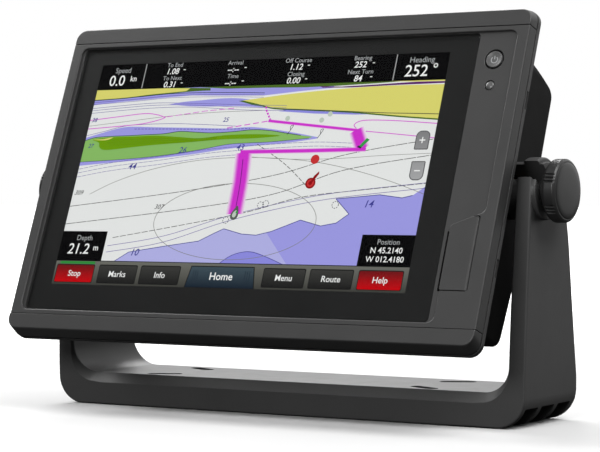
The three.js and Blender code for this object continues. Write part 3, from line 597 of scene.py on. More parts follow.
def front_bezel():
    middle = box(-WIDE, WIDE, -3, BEHIND, -SEAM, SEAM)
    middle = soften_seam(combine(case_front(0, FRONT_DEPTH), [middle], "INTERSECT"), SEAM)
    neck = slab(rectangle(-127, 127, -80.3, 80.3, CASE_CORNER - 1), FRONT_DEPTH - 0.35, LIP_FRONT + 0.4)
    lip = slab(rectangle(-HALF_WIDTH, HALF_WIDTH, -HALF_HEIGHT, HALF_HEIGHT, CASE_CORNER), LIP_FRONT,
               CASE_BACK, 0.3, 0.4)
    body = combine(middle, [neck, lip], "UNION")
    gasket_front = local_box("housing_gasket")[0][1] - GAP
    groove = combine(slab(node_outline("housing_gasket", GAP, 4), gasket_front, BEHIND),
                     [slab(node_outline("housing_gasket", -1.3, 3), 5, 14)])
    tools = [
        opening(recess_outline(), 0, RECESS, 0.65, steps=6),
        opening(node_outline("cover_glass", GAP, 2), RECESS, 3.4, 0.12, steps=2),
        slab(rectangle(-114, 94, -59.4, 64.6, 1), 0, BEHIND),
        slab(rectangle(-118.3, 118.3, -66.2, 66.2, 3), 5.2, BEHIND),
        opening(disc(*BUTTON_AT, 4.7), RECESS, BEHIND, 0.35),
        opening(disc(*SENSOR_AT, 2.4, 48), RECESS, BEHIND, 0.2),
        opening(door_outline(GAP), 0, 4.1, 0.2, steps=3),
        opening(rectangle(104.9, 107.4, -54.3, -26.6, 0.5), RECESS, 3.3, 0.2, steps=3),
        slab(rectangle(108.5, 111.9, -52.2, -25.8, 0.6), 0, BEHIND),
        groove,
    ]
    pins = []
    for side in SIDES:
        pins += [box(x - 3.3, x + 3.3, -1, BEHIND, side * CLIP_Z - 1.1, side * CLIP_Z + 1.1) for x in CLIP_X]
        pins += [peg(x, side * SCREW_Z, SCREW_BORE, -1, BEHIND) for x in SCREW_X]
        pins += [peg(x, side * FLUSH_Z, 2.0, -1, BEHIND) for x in FLUSH_X]
        pins += [box(side * 127.45, side * 131, 7.6, 9.3, z, z + 8.5, 0.2) for z in (34, -45)]
    tools.append(together(pins))
    pin_low, pin_high = local_box("card_door_pin")
    tools.append(hinge_bore(pin_low[2] - GAP, pin_high[2] + GAP))
    show(combine(body, tools), "bezel_moulding", "display", CASE_FINISH, "front_bezel")


def hinge_bore(low, high):
    return slab(disc(HINGE_X, HINGE_Y, HINGE_BORE, 24), low, high, axis="Z")


def trim_cap(side, name, front):
    def across(*heights):
        return both_ways(*heights)[side < 0]

    low = SEAM + GAP
    beyond = box(-WIDE, WIDE, -3, BEHIND, *across(low, 95))
    shell = soften_seam(combine(case_front(front, FRONT_DEPTH - GAP), [beyond], "INTERSECT"), low)
    inside = box(-119, 119, front + 1.6, BEHIND, *across(low + 1.2, 77.4))
    posts = together([peg(x, side * FLUSH_Z, 2.4, front + 1.6, BEHIND) for x in FLUSH_X])
    clips = together([box(x - 3, x + 3, front + 1, CASE_BACK - GAP, *across(CLIP_Z - 0.8, CLIP_Z + 0.8), 0.15)
                      for x in CLIP_X])
    mesh = combine(combine(shell, [inside, posts]), [clips], "UNION")
    show(mesh, f"{name}_trim_moulding", "display", CASE_FINISH, f"{name}_trim_cap")


def glass_and_print():
    front, back = (corner[1] for corner in local_box("cover_glass"))
    outline = node_outline("cover_glass", 0, 2)
    show(slab(outline, front, back, 0.22, 0.12), "cover_glass_sheet", "display", GLASS, "cover_glass")
    rim = slab(grown(outline, -0.35), back + 0.02, back + 0.09)
    window = slab(rectangle(*WINDOW_X, *WINDOW_Z, 0.4), 0, 5)
    show(combine(rim, [window]), "glass_print", "display", PRINT, slot="cover_glass")


# ---------------------------------------------------------------- button, sensor and door


def dished(radius):
    """Depth of the power button's hollow face at a radius."""
    return BUTTON_FACE + 0.65 * (1 - (min(radius, 3.7) / 3.7) ** 2)


def power_button():
    back = local_box("power_button")[1][1]
    face = [(dished(r), r) for r in np.linspace(0, 3.6, 10)]
    rim = [(BUTTON_FACE + d, 3.65 + 0.3 * math.sin(a)) for d, a in
           ((0.02, 0.0), (0.06, 0.5), (0.15, 0.95), (0.3, 1.35), (0.45, math.pi / 2))]
    skirt = [(3.4, 3.95), (3.8, 4.3), (5.5, 4.3), (5.5, 5.35), (5.62, 5.5), (6.1, 5.5), (6.2, 5.4),
             (6.2, 2.0), (back, 2.0), (back, 0)]
    show(turned(face + rim + skirt, centre=BUTTON_AT, segments=96), "power_button_cap", "power_button",
         BUTTON_FINISH, "power_button", slot="rubber")


def power_symbol():
    """The raised power symbol, which follows the button's hollow; its light grey has a painted glow."""
    x, z = BUTTON_AT
    turns = np.linspace(math.radians(42), math.radians(318), 40)
    ring = [(x + 1.55 * math.sin(a), z - 0.1 + 1.55 * math.cos(a)) for a in turns]
    bar = [(x, z + 0.15), (x, z + 0.9), (x, z + 1.75)]
    strokes = [ribbon(points, 0.34) for points in (ring, bar)]
    mesh = together([stack([(0.0, stroke), (0.12, stroke)]) for stroke in strokes])
    for vertex in mesh.verts:
        vertex.co.y += dished(math.hypot(vertex.co.x - x, vertex.co.z - z)) - 0.06
    show(mesh, "power_symbol", "power_button", MARK_WITH_PAINTED_GLOW, slot="rubber")


def light_sensor():
    back = local_box("light_sensor_lens")[1][1]
    dome = [(1.45 - 0.85 * math.cos(a), 2.1 * math.sin(a)) for a in np.linspace(0, math.pi / 2, 12)]
    foot = [(5.5, 2.1), (5.5, 2.9), (5.6, 3.0), (back, 3.0), (back, 0)]
    show(turned(dome + foot, centre=SENSOR_AT), "light_sensor_dome", "display", LENS, "light_sensor_lens")


def card_door():
    low, high = local_box("card_door")
    reach = 2.12
    plate = slab(door_outline(), 0, 2.2, 0.3, 0.15)
    plate = combine(plate, [box(HINGE_X - 0.02, 130, -2, 9, -90, 0)])
    flat = math.asin(HINGE_Y / reach)
    round_edge = arc(HINGE_X, HINGE_Y, reach, -flat, math.pi + flat, 44)
    barrel = slab(round_edge, low[2], high[2], 0.2, 0.2, axis="Z", steps=2)
    finger_dip = slab(disc(105.0, 2.3, 1.9, 32), -44, -32, 0.5, 0.5, axis="Z")
    door = combine(combine(plate, [barrel], "UNION"), [finger_dip, hinge_bore(low[2] - 2, high[2] + 2)])
    show(door, "card_door_moulding", "card_door", CASE_FINISH, "card_door")


def memory_card(name):
    """A card with a printed label panel and gripping ridges at its outer end."""
    (x0, y0, z0), (x1, y1, z1) = local_box(name)
    outline = rounded([(y0, z0, 0.8), (y1, z0, 0.6), (y1, z0 + 9.6, 0.4), (y1 - 5.6, z0 + 9.6, 0.2),
                       (y1 - 6.8, z1, 0.2), (y0, z1, 0.8)])
    card = slab(outline, x0, x1, 0.12, 0.12, axis="X", steps=2)
    ridges = together([box(x0 - 1, x0 + 0.12, y0 + s, y0 + s + 0.35, z0 + 1.5, z1 - 1.5)
                       for s in (0.6, 1.3, 2.0)])
    show(combine(card, [ridges]), f"{name}_body", name, CARD_PLASTIC, name)
    label = slab(rectangle(y0 + 3.2, y1 - 4.5, z0 + 1.2, z1 - 1.2, 0.5), x0 - 0.03, x0 + 0.05, axis="X")
    show(label, f"{name}_label", name, CARD_LABEL, slot="card_plastic")


# ---------------------------------------------------------------- rear housing


BACK_LOW, BACK_DEEP, BACK_TOP = (48.1, -37.0), (56.0, 34.0), (54.4, 61.4)  # (y, z) of the folded back
HOUSING_HALF = 116
BAY, BAY_FLOOR = rectangle(-60, 60, -50, -16, 5), 38.0
# (depth, growth) levels of the flared ring that rounds the port bay's mouth
BAY_RIM = ((-0.9, 0), (-0.65, 0.04), (-0.4, 0.16), (-0.2, 0.34), (-0.05, 0.6), (0.02, 0.9), (4.0, 1.2))
PORT_Z, PORT_FLOOR = -33.0, 40.0
PORTS = {"power": (-42, 4), "network": (-14, 8), "data": (14, 5), "sonar": (42, 12)}  # x and pins
VENT_AT = (88, -20)


def back_at(z):
    """Depth of the gently folded back at a height."""
    y, height = BACK_LOW if z < BACK_DEEP[1] else BACK_TOP
    return BACK_DEEP[0] - (z - BACK_DEEP[1]) * (BACK_DEEP[0] - y) / (height - BACK_DEEP[1])


def housing_solid(inset):
    front = 10.0 if inset == 0 else 5.0
    side = rounded([(front, -72.5 + inset), (32, -69 + inset, 14), (44.6 - inset, -65.4 + inset, 8),
                    (BACK_LOW[0] - inset, BACK_LOW[1], 30), (BACK_DEEP[0] - inset, BACK_DEEP[1], 40),
                    (BACK_TOP[0] - inset, BACK_TOP[1] - inset, 7), (front, 72 - inset)], 6)
    half, back = HOUSING_HALF - inset, BACK_DEEP[0] + 0.2 - inset
    plan = rounded([(-half, -20), (half, -20), (half, back, 3), (-half, back, 3)], 10)
    face = rectangle(-half, half, -72.6 + inset, 72.1 - inset, 9, 6)
    body = slab(side, -half - 1, half + 1, axis="X")
    return combine(body, [slab(plan, -90, 90, axis="Z"), slab(face, -5, 70)], "INTERSECT")


def cutter_on_back(outline, levels):
    """A cutter through (depth, growth) levels of an outline, laid on the sloping back."""
    mesh = stack([(depth, grown(outline, growth)) for depth, growth in levels])
    bmesh.ops.bisect_plane(mesh, geom=mesh.verts[:] + mesh.edges[:] + mesh.faces[:],
                           plane_co=(0, 0, BACK_DEEP[1]), plane_no=(0, 0, 1))
    for vertex in mesh.verts:
        vertex.co.y += back_at(vertex.co.z)
    return mesh


def cooling_grooves():
    """Round-ended grooves that follow the fold of the back."""
    levels = ((-1.0, -0.9), (-0.75, -0.45), (-0.3, 0), (0.1, 0.25), (4.0, 0.25))
    return together([cutter_on_back(rectangle(x - 2.5, x + 2.5, 6, 50, 2.45, 15), levels)
                     for x in range(-64, 65, 16)])


def rear_housing():
    outer = housing_solid(0)
    flange = slab(rectangle(-122, 122, -77, 77, 14), 10, 13, 0.2, 0.9)
    pads = [slab(disc(PIVOT.y, PIVOT.z, 13, 72), *span, *rounds, axis="X")
            for span, rounds in zip(both_ways(100, 118.1), ((0, 0.5), (0.5, 0)))]
    body = combine(outer, [flange, *pads], "UNION")
    body = combine(body, [housing_solid(2.5)])
    trunk = [slab(disc(PIVOT.y, PIVOT.z, 8.6, 48), *span, axis="X") for span in both_ways(100, 114)]
    bay_wall = combine(slab(rectangle(-62.5, 62.5, -52.5, -13.5, 7.5), 35.5, 56), [housing_solid(0.6)],
                       "INTERSECT")
    body = combine(body, [*trunk, bay_wall], "UNION")
    tools = [
        slab(BAY, BAY_FLOOR, 80),
        cutter_on_back(BAY, BAY_RIM),
        cooling_grooves(),
        together([opening(disc(x, PORT_Z, 8.3), BAY_FLOOR, 30, 0.25) for x, _ in PORTS.values()]),
        together([slab(disc(PIVOT.y, PIVOT.z, 6.3, 48), *span, axis="X") for span in both_ways(99, 125)]),
        together([peg(x, side * SCREW_Z, SCREW_BORE, 0, 40) for x in SCREW_X for side in SIDES]),
        together([peg(x, side * SCREW_Z, 3.3, 13, 60, 50) for x in SCREW_X for side in SIDES]),
        opening(disc(*VENT_AT, 4.9), back_at(VENT_AT[1]), back_at(VENT_AT[1]) - 1.2, 0.3),
        peg(*VENT_AT, 2.6, 30, 70),
    ]
    show(combine(body, tools), "housing_moulding", "display", HOUSING_FINISH, "rear_housing")


def ports():
    """Threaded steel shells with a dark insert and brass pins."""
    for name, (x, pins) in PORTS.items():
        at = (x, PORT_Z)
        profile = [(29, 0), (29, 6.9), (29.1, 7), (35.2, 7), (35.2, 8), (39.2, 8), (39.4, 7.6),
                   *thread(40.6, 45.8, 0.75, ((0, 7.55), (0.2, 7.98), (0.4, 7.98), (0.55, 7.55))),
                   (45.9, 7.9), (46.4, 7.6), (46.6, 7.2), (46.6, 6.6), (46.3, 6.4), (PORT_FLOOR, 6.4),
                   (PORT_FLOOR, 0)]
        show(turned(profile, centre=at, segments=72), f"port_{name}_shell", "display", STEEL, f"port_{name}")
        insert = turned([(PORT_FLOOR - 0.2, 0), (PORT_FLOOR - 0.2, 6.36), (41.2, 6.36), (41.4, 6.1),
                         (41.4, 0)], centre=at)
        key = box(x - 0.9, x + 0.9, 41, 45.5, PORT_Z + 5.2, PORT_Z + 6.42, 0.12)
        show(combine(insert, [key], "UNION"), f"port_{name}_insert", "display", NYLON)
        reach = 3.9 if pins > 6 else 3.0
        contacts = []
        for i in range(pins):
            angle = 2 * math.pi * (i + 0.5) / pins
            spot = (x + reach * math.sin(angle), PORT_Z + reach * math.cos(angle))
            contacts.append(turned([(41.2, 0), (41.2, 0.5), (43.6, 0.5), (43.9, 0.35), (44, 0)],
                                   centre=spot, segments=16))
        show(together(contacts), f"port_{name}_contacts", "display", BRASS)


def cap_ribs(along, radius, angle):
    """Twenty-four ribs round a weather cap's grip."""
    inside = 41.4 < along < 47.6 and radius > 9
    return radius - (0.28 * (0.5 + 0.5 * math.cos(24 * angle)) ** 2 if inside else 0)


def port_cap(name, port):
    """A weather cap with a ribbed grip and a ring moulded in the face."""
    profile = [(40.4, 8.3), (40.4, 9.7), (40.6, 9.9), (41.3, 9.9), (41.5, 9.85), (44, 9.8), (47.5, 9.72),
               (47.7, 9.7), (48.4, 9.6), (48.9, 9.4), (49.2, 9.0), (49.4, 8.5), (49.4, 6.6), (49.1, 6.35),
               (49.1, 5.7), (49.4, 5.45), (49.4, 0), (47.2, 0), (47.2, 8.0), (46.9, 8.3)]
    cap = turned(profile, centre=(PORTS[port][0], PORT_Z), segments=192, looped=True, radial=cap_ribs)
    show(cap, f"{name}_rubber", name, RUBBER, name)


def vent_plug():
    front, back = (corner[1] for corner in local_box("pressure_vent"))
    seat = back - 1.3
    profile = [(front, 0), (front, 2.3), (seat, 2.3), (seat, 4.6), (seat + 0.7, 4.6), (seat + 1.05, 4.45),
               (seat + 1.25, 4.1), (back, 3.6), (back, 1.7), (seat + 0.9, 1.5), (seat + 0.9, 0)]
    plug = turned(profile, centre=VENT_AT)
    slots = []
    for (x, z), (half_x, half_z) in (((0, -2.4), (0.35, 0.7)), ((0, 2.4), (0.35, 0.7)),
                                     ((-2.4, 0), (0.7, 0.35)), ((2.4, 0), (0.7, 0.35))):
        x, z = VENT_AT[0] + x, VENT_AT[1] + z
        slots.append(box(x - half_x, x + half_x, back - 0.5, 70, z - half_z, z + half_z))
    show(combine(plug, [together(slots)]), "vent_plug", "display", NYLON, "pressure_vent")


def hexagon(u, v, reach):
    return [(u + reach * math.cos(k * math.pi / 3), v + reach * math.sin(k * math.pi / 3)) for k in range(6)]


def screw(name, head):
    """A socket-head screw with a domed rim and a run of thread, sized by its head's radius."""
    low, high = local_box(name)
    x, z = (low[0] + high[0]) / 2, (low[2] + high[2]) / 2
    seat = high[1] - head * 0.75
    radius = head * 0.5
    profile = [(low[1], 0), (low[1], radius * 0.75),
               *thread(low[1] + 0.5, seat - 1.2, 0.5, ((0, radius * 0.9), (0.25, radius))),
               (seat - 0.6, radius), (seat, radius), (seat, head * 0.96), (seat + 0.1, head),
               (seat + head * 0.42, head), (seat + head * 0.6, head * 0.95),
               (seat + head * 0.71, head * 0.82), (high[1], head * 0.66), (high[1], 0)]
    mesh = combine(turned(profile, centre=(x, z), segments=48),
                   [slab(hexagon(x, z, head * 0.48), seat + head * 0.3, high[1] + 2)])
    show(mesh, f"{name}_fine", "display", STEEL, name)


# ---------------------------------------------------------------- bail

BASE_FRONT, BASE_BACK, BASE_TOP = -15.7, 36.0, 15.5
SLOT_X, SLOT_Y, SLOT_HALF_LENGTH, SLOT_HALF_WIDTH, SLOT_TURN = 73.3, (-3.8, 28.6), 8.75, 3.0, 25.0
JOIN = 74.0  # height where the swept part ends and the crown starts
CROWN_RADIUS = 15.0
EDGE_STEPS = 4
RIB, LANES = 3.4, 3  # the ribs under the base and the lanes of pockets between them
BOSS_IN, BOSS_OUT, BOSS_RADIUS = 118.6, 134.5, 13.0  # the clamp boss at the top of each arm
CLAMP_HALF, CLAMP_FLARE = 4.7, 0.45  # the open slot's half width, and the flare at its mouths


def arm_front(z):
    """Depth of the arm's front edge: upright at the base, then leaning back a little."""
    return BASE_FRONT if z < 20 else BASE_FRONT + (z - 20) * 2.8 / 93.2


def arm_back(z):
    """Depth of the arm's back edge: bulging above the floor, then leaning forward."""
    if z < 18:
        return 36.7 + 1.9 * math.sin(max(0.0, z) / 18 * math.pi / 2)
    return 38.6 - (z - 18) * 10.3 / 56


def outer_face(z):
    """The arms lean a little outwards as they rise."""
    return 129.7 + 3.4 * z / 120.5


def inner_face(z):
    """The arms thin slightly as they rise."""
    return 121.2 + 4.4 * (z - BASE_TOP) / 105


def corner_points(radius, flat):
    """(across, along) offsets over an edge, from (0, radius) to (radius, 0): a fillet or a chamfer."""
    out = []
    for k, bend in enumerate(edge(radius, EDGE_STEPS)):
        share = k / EDGE_STEPS
        straight = (radius * share, radius * (1 - share))
        out.append(tuple(flat * q + (1 - flat) * p for p, q in zip(bend, straight)))
    return out


def section(outer, inner, front_edge, flat):
    """One ring of the bail between an outer and an inner (x, z) point, bevelled along its inner front."""
    outer, inner = Vector(outer), Vector(inner)
    across = inner - outer
    thickness = across.length
    across /= thickness

    def depth(of_height, t):
        here, there = of_height(outer.y), of_height(inner.y)
        return here + (there - here) * t / thickness

    soft = corner_points(1.0, 0)
    cut = corner_points(front_edge, flat)
    ring = [(u, depth(arm_front, u) + v) for u, v in soft]
    ring += [(thickness - u, depth(arm_front, thickness - u) + v) for u, v in cut[::-1]]
    ring += [(thickness - u, depth(arm_back, thickness - u) - v) for u, v in soft]
    ring += [(u, depth(arm_back, u) - v) for u, v in soft[::-1]]
    return [(outer.x + across.x * t, y, outer.y + across.y * t) for t, y in ring]


def bail_stations(side):
    """Sections from the middle of the base round the corner and up one arm."""
    stations = [((x, 0), (x, BASE_TOP), 4.6, 1.0) for x in (0, 25, 50, 75, 95, 104)]
    for k in range(13):
        share = k / 12
        a = share * math.pi / 2
        outer = (116.3 + (outer_face(13.4) - 116.3) * math.sin(a), 13.4 - 13.4 * math.cos(a))
        inner = (108.2 + (inner_face(28.5) - 108.2) * math.sin(a), 28.5 - 13 * math.cos(a))
        stations.append((outer, inner, 4.6 - 2.9 * share, 1.0))
    for k in range(1, 7):
        share = k / 6
        lean = (1 - share) * 7.55
        z = 21 + (52 - 21) * share
        outer, inner = (outer_face(z - lean), z - lean), (inner_face(z + lean), z + lean)
        stations.append((outer, inner, 1.7 - 0.7 * share, 1 - share))
    stations.append(((outer_face(JOIN), JOIN), (inner_face(JOIN), JOIN), 1.0, 0.0))
    return [section((side * outer[0], outer[1]), (side * inner[0], inner[1]), front_edge, flat)
            for outer, inner, front_edge, flat in stations]


def crown_line(inset):
    """The arm's silhouette above the join, from its front over the crown to its back, moved inwards."""
    front = [(arm_front(z), z) for z in (JOIN, 87, 100)]
    top = arc(0, AXIS_HEIGHT, CROWN_RADIUS, math.pi - 0.535, math.pi / 2 - 0.7, 30)
    a, control, b = Vector(top[-1]), Vector((22.7, 107)), Vector((arm_back(JOIN), JOIN))
    back = []
    for k in range(1, 15):
        t = k / 14
        back.append(tuple((1 - t) ** 2 * a + 2 * t * (1 - t) * control + t * t * b))
    moved = grown((front + top + back)[::-1], -inset, closed=False)[::-1]
    moved[0] = (arm_front(JOIN) + inset, JOIN)
    moved[-1] = (arm_back(JOIN) - inset, JOIN)
    return moved


def crown(side):
    """The top of one arm as an open skin that meets the swept part at the join."""
    soft = corner_points(1.0, 0)
    depths = [(inner_face, u, v) for u, v in soft]
    depths += [(outer_face, -u, v) for u, v in soft[::-1]]
    mesh = bmesh.new()
    rows = [[mesh.verts.new((side * (face(z) + u), y, z)) for y, z in crown_line(inset)]
            for face, u, inset in depths]
    for a, b in zip(rows, rows[1:]):
        for i in range(1, len(a)):
            mesh.faces.new((a[i - 1], a[i], b[i], b[i - 1]))
    mesh.faces.new(rows[0])
    mesh.faces.new(rows[-1][::-1])
    return mesh


def bail_body():
    sweep = skin(bail_stations(-1)[:0:-1] + bail_stations(1), capped=False)
    whole = together([sweep, crown(-1), crown(1)])
    bmesh.ops.remove_doubles(whole, verts=whole.verts, dist=0.02)
    bmesh.ops.recalc_face_normals(whole, faces=whole.faces)
    return whole


def underside_channels():
    """Three lanes of pockets under the base, between two long ribs."""
    tools = []
    lane = (BASE_BACK - BASE_FRONT - 6 - 2 * RIB) / LANES
    for i in range(LANES):
        y0 = BASE_FRONT + 3 + i * (lane + RIB)
        spans = [(2, 64.3, 12.5), (82.3, 116.3, 12.5), (116.2, 140, 8.8)]
        if i == 1:
            spans.append((66.3, 80.3, 12.5))
        for side in SIDES:
            for a, b, roof in spans:
                outline = rectangle(*sorted((side * a, side * b)), y0, y0 + lane, 0.6, 30)
                tools.append(slab(outline, -4, roof, 0, 0.5, axis="Z", steps=2))
    return tools


def base_slots():
    """Four slots through the base that all point towards its middle."""
    tools = []
    outline = rectangle(-SLOT_HALF_LENGTH, SLOT_HALF_LENGTH, -SLOT_HALF_WIDTH, SLOT_HALF_WIDTH,
                        SLOT_HALF_WIDTH - 0.01)
    for side in SIDES:
        for way, y in zip(SIDES, SLOT_Y):
            cutter = opening(outline, BASE_TOP, -4, 0.35, axis="Z")
            turn = Matrix.Rotation(math.radians(way * side * SLOT_TURN), 4, "Z")
            cutter.transform(Matrix.Translation((side * SLOT_X, y, 0)) @ turn)
            tools.append(cutter)
    return tools


def clamp_slots():
    """The open slots that the knobs' sleeves slide into, with a flare where each meets its boss."""
    round_end = CLAMP_HALF - 0.01
    outline = rounded([(-CLAMP_HALF, -CLAMP_HALF, round_end), (CLAMP_HALF, -CLAMP_HALF, round_end),
                       (CLAMP_HALF, 40), (-CLAMP_HALF, 40)])
    mouths = []
    for side in SIDES:
        for face, way in ((BOSS_IN, 1), (BOSS_OUT, -1)):
            levels = [(-2, CLAMP_FLARE), *edge(CLAMP_FLARE, 3), (1.2, -0.01)]
            mouths.append(stack([(side * (face + way * depth), grown(outline, growth))
                                 for depth, growth in levels], "X"))
    tools = [slab(outline, -140, 140, axis="X"), together(mouths)]
    for tool in tools:
        tool.transform(Matrix.Translation((0, 0, AXIS_HEIGHT)) @ Matrix.Rotation(math.radians(45), 4, "X"))
    return tools


def bail():
    bosses = [slab(disc(0, AXIS_HEIGHT, BOSS_RADIUS, 96), *span, 0.6, 0.6, axis="X")
              for span in both_ways(BOSS_IN, BOSS_OUT)[::-1]]
    body = combine(bail_body(), bosses, "UNION")
    body = combine(body, [*clamp_slots(), *underside_channels(), *base_slots()])
    show(body, "bail_moulding", "bail", BAIL_FINISH, "bail_bracket", matrix=ROOM)


# ---------------------------------------------------------------- knobs and pivots


def tube(inner, outer, bore, radius, soft=0.2):
    """A ring about the tilt axis, as a turned profile that closes on itself."""
    return [(inner, bore), (inner, radius - soft), (inner + soft * 0.3, radius - soft * 0.3),
            (inner + soft, radius), (outer - soft, radius), (outer - soft * 0.3, radius - soft * 0.3),
            (outer, radius - soft), (outer, bore)]


GRIP_TURN, GRIP_GROUP, GRIP_PITCH = 27.0, 60, 7  # degrees
GRIP_MIDDLE, GRIP_HALF, GRIP_DEPTH = 140.7, 2.7, 0.85


def grip_groove(along, radius, angle):
    """Six groups of three short grooves round the knob's rim."""
    if radius < 13.6:
        return radius
    share = max(0.0, 1 - (abs(along - GRIP_MIDDLE) / GRIP_HALF) ** 4)
    turn = (math.degrees(angle) - GRIP_TURN) % GRIP_GROUP - GRIP_GROUP / 2
    near = min(abs(turn + GRIP_PITCH), abs(turn), abs(turn - GRIP_PITCH))
    return radius - GRIP_DEPTH * share * max(0.0, 1 - (near / 2.2) ** 2)


def knob(side, name):
    matrix = ROOM @ Matrix.Translation((0, 0, AXIS_HEIGHT))
    if side < 0:
        matrix = matrix @ Matrix.Rotation(math.pi, 4, "Z")
    matrix = matrix @ Matrix.Rotation(math.radians(-tilt_degrees()), 4, "X")
    wall = [(139.2 + t * 3.9, 14.2) for t in np.linspace(0, 1, 13)]
    shape = [(136.3, 6.2), (136.3, 10.3), (136.45, 10.7), (137.2, 12.5), (137.6, 13.1), (138.1, 13.65),
             (138.6, 14.0), (139.0, 14.17), *wall, (143.25, 14.1), (143.6, 13.85), (143.9, 13.5),
             (144.1, 13.2), (144.15, 12.95), (144.05, 12.7), (144.15, 12.45), (144.35, 12.2), (144.5, 11.7),
             (144.62, 10), (144.7, 7), (144.76, 3.5), (144.8, 0), (142.4, 0), (142.4, 6.2)]
    grip = turned(shape, axis="X", segments=720, looped=True, radial=grip_groove)
    show(grip, f"knob_{name}_grip", f"knob_{name}", KNOB_FINISH, f"knob_grip_{name}", matrix=matrix,
         sharp=50, weld=5e-4)
    washer = turned(tube(134.8, 136.0, 3.3, 9.0), axis="X", looped=True)
    show(washer, f"knob_{name}_washer", f"washer_{name}", NYLON, f"knob_washer_{name}", matrix=matrix)
    sleeve = turned(tube(118.5, 134.2, 3.3, 4.4), axis="X", segments=48, looped=True)
    show(sleeve, f"stud_{name}_sleeve", "pivot_carriage", NYLON, f"stud_sleeve_{name}", matrix=matrix)
    turns = thread(105.6, 117.0, 1.0, ((0, 2.72), (0.25, 3.0), (0.5, 3.0), (0.75, 2.72)))
    stud = turned([(105, 0), (105, 2.5), *turns, (118, 3.0), (138.5, 3.0), (138.5, 0)], axis="X",
                  segments=48)
    head = slab(hexagon(0, 0, 5.6), 138.4, 142.0, 0.2, 0.2, axis="X", steps=2)
    show(combine(stud, [head], "UNION"), f"knob_{name}_stud", f"knob_{name}", STEEL, f"knob_stud_{name}",
         matrix=matrix)


# ---------------------------------------------------------------- the screen's picture

WINDOW_X, WINDOW_Z = (-108.6, 88.6), (-55.2, 60.4)
PICTURE = {}  # meshes by the name of their colour
LAYER = 0.012  # height of one layer of the picture
PANEL_FRONT = local_box("lcd_panel")[0][1]
BAR_LOW, BAR_HIGH = -43.0, 46.8


def tile(kind, points, layer):
    """A thin lit patch of the picture. Higher layers lie nearer the glass."""
    points = clip(points)
    kept = [q for q, before in zip(points, points[-1:] + points[:-1]) if math.dist(q, before) > 1e-3]
    if len(kept) > 2:
        front = PANEL_FRONT - LAYER * (layer + 1)
        PICTURE.setdefault(kind, []).append(stack([(front, kept), (PANEL_FRONT - 0.002, kept)]))


def clip(points):
    """The part of a patch inside the screen's window."""
    out = [tuple(p) for p in points]
    sides = (0, WINDOW_X[0], 1), (0, WINDOW_X[1], -1), (1, WINDOW_Z[0], 1), (1, WINDOW_Z[1], -1)
    for axis, limit, way in sides:
        kept = []
        for a, b in zip([out[-1], *out], out):
            inside_a, inside_b = (a[axis] - limit) * way >= 0, (b[axis] - limit) * way >= 0
            if inside_a != inside_b:
                t = (limit - a[axis]) / (b[axis] - a[axis])
                kept.append((a[0] + (b[0] - a[0]) * t, a[1] + (b[1] - a[1]) * t))
            if inside_b:
                kept.append(b)
        out = kept
        if not out:
            break
    return out


def ribbon(line, width):
    """A band of even width along a line of points."""
    left = grown(line, width / 2, closed=False)
    right = grown(line, -width / 2, closed=False)
    return left + right[::-1]


def dashes(kind, points, width, on, off, layer):
    p = [Vector(q) for q in points]
    run, drawing, piece = 0.0, True, [p[0]]
    for a, b in zip(p, p[1:]):
        left, place = (b - a).length, a
        while left > 0:
            need = (on if drawing else off) - run
            if left < need:
                run += left
                left = 0
                piece.append(b)
            else:
                place = place + (b - a).normalized() * need
                left -= need
                run = 0.0
                if drawing:
                    tile(kind, ribbon([*piece, place], width), layer)
                drawing = not drawing
                piece = [place]
    if drawing and len(piece) > 1:
        tile(kind, ribbon(piece, width), layer)


def line(kind, points, width, layer, pieces=6):
    curve = smooth(points, pieces)
    for a in range(0, len(curve) - 1, 4):
        tile(kind, ribbon(curve[a:a + 5], width), layer)


def words(kind, text, x, z, size, layer, bold=0.0, lean=0.0):
    """Lettering as thin lit shapes, in Blender's own font."""
    data = bpy.data.curves.new("words", "FONT")
    data.body, data.size = text, size
    data.align_x = data.align_y = "CENTER"
    data.offset, data.shear = bold, lean
    data.extrude = LAYER * 0.5
    data.resolution_u = 3
    obj = bpy.data.objects.new("words", data)
    bpy.context.scene.collection.objects.link(obj)
    graph = bpy.context.evaluated_depsgraph_get()
    flat = bpy.data.meshes.new_from_object(obj.evaluated_get(graph))
    mesh = bmesh.new()
    mesh.from_mesh(flat)
    bpy.data.meshes.remove(flat)
    bpy.data.objects.remove(obj)
    bpy.data.curves.remove(data)
    depth = PANEL_FRONT - LAYER * (layer + 0.5)
    mesh.transform(Matrix(((1, 0, 0, x), (0, 0, -1, depth), (0, 1, 0, z), (0, 0, 0, 1))))
    PICTURE.setdefault(kind, []).append(mesh)


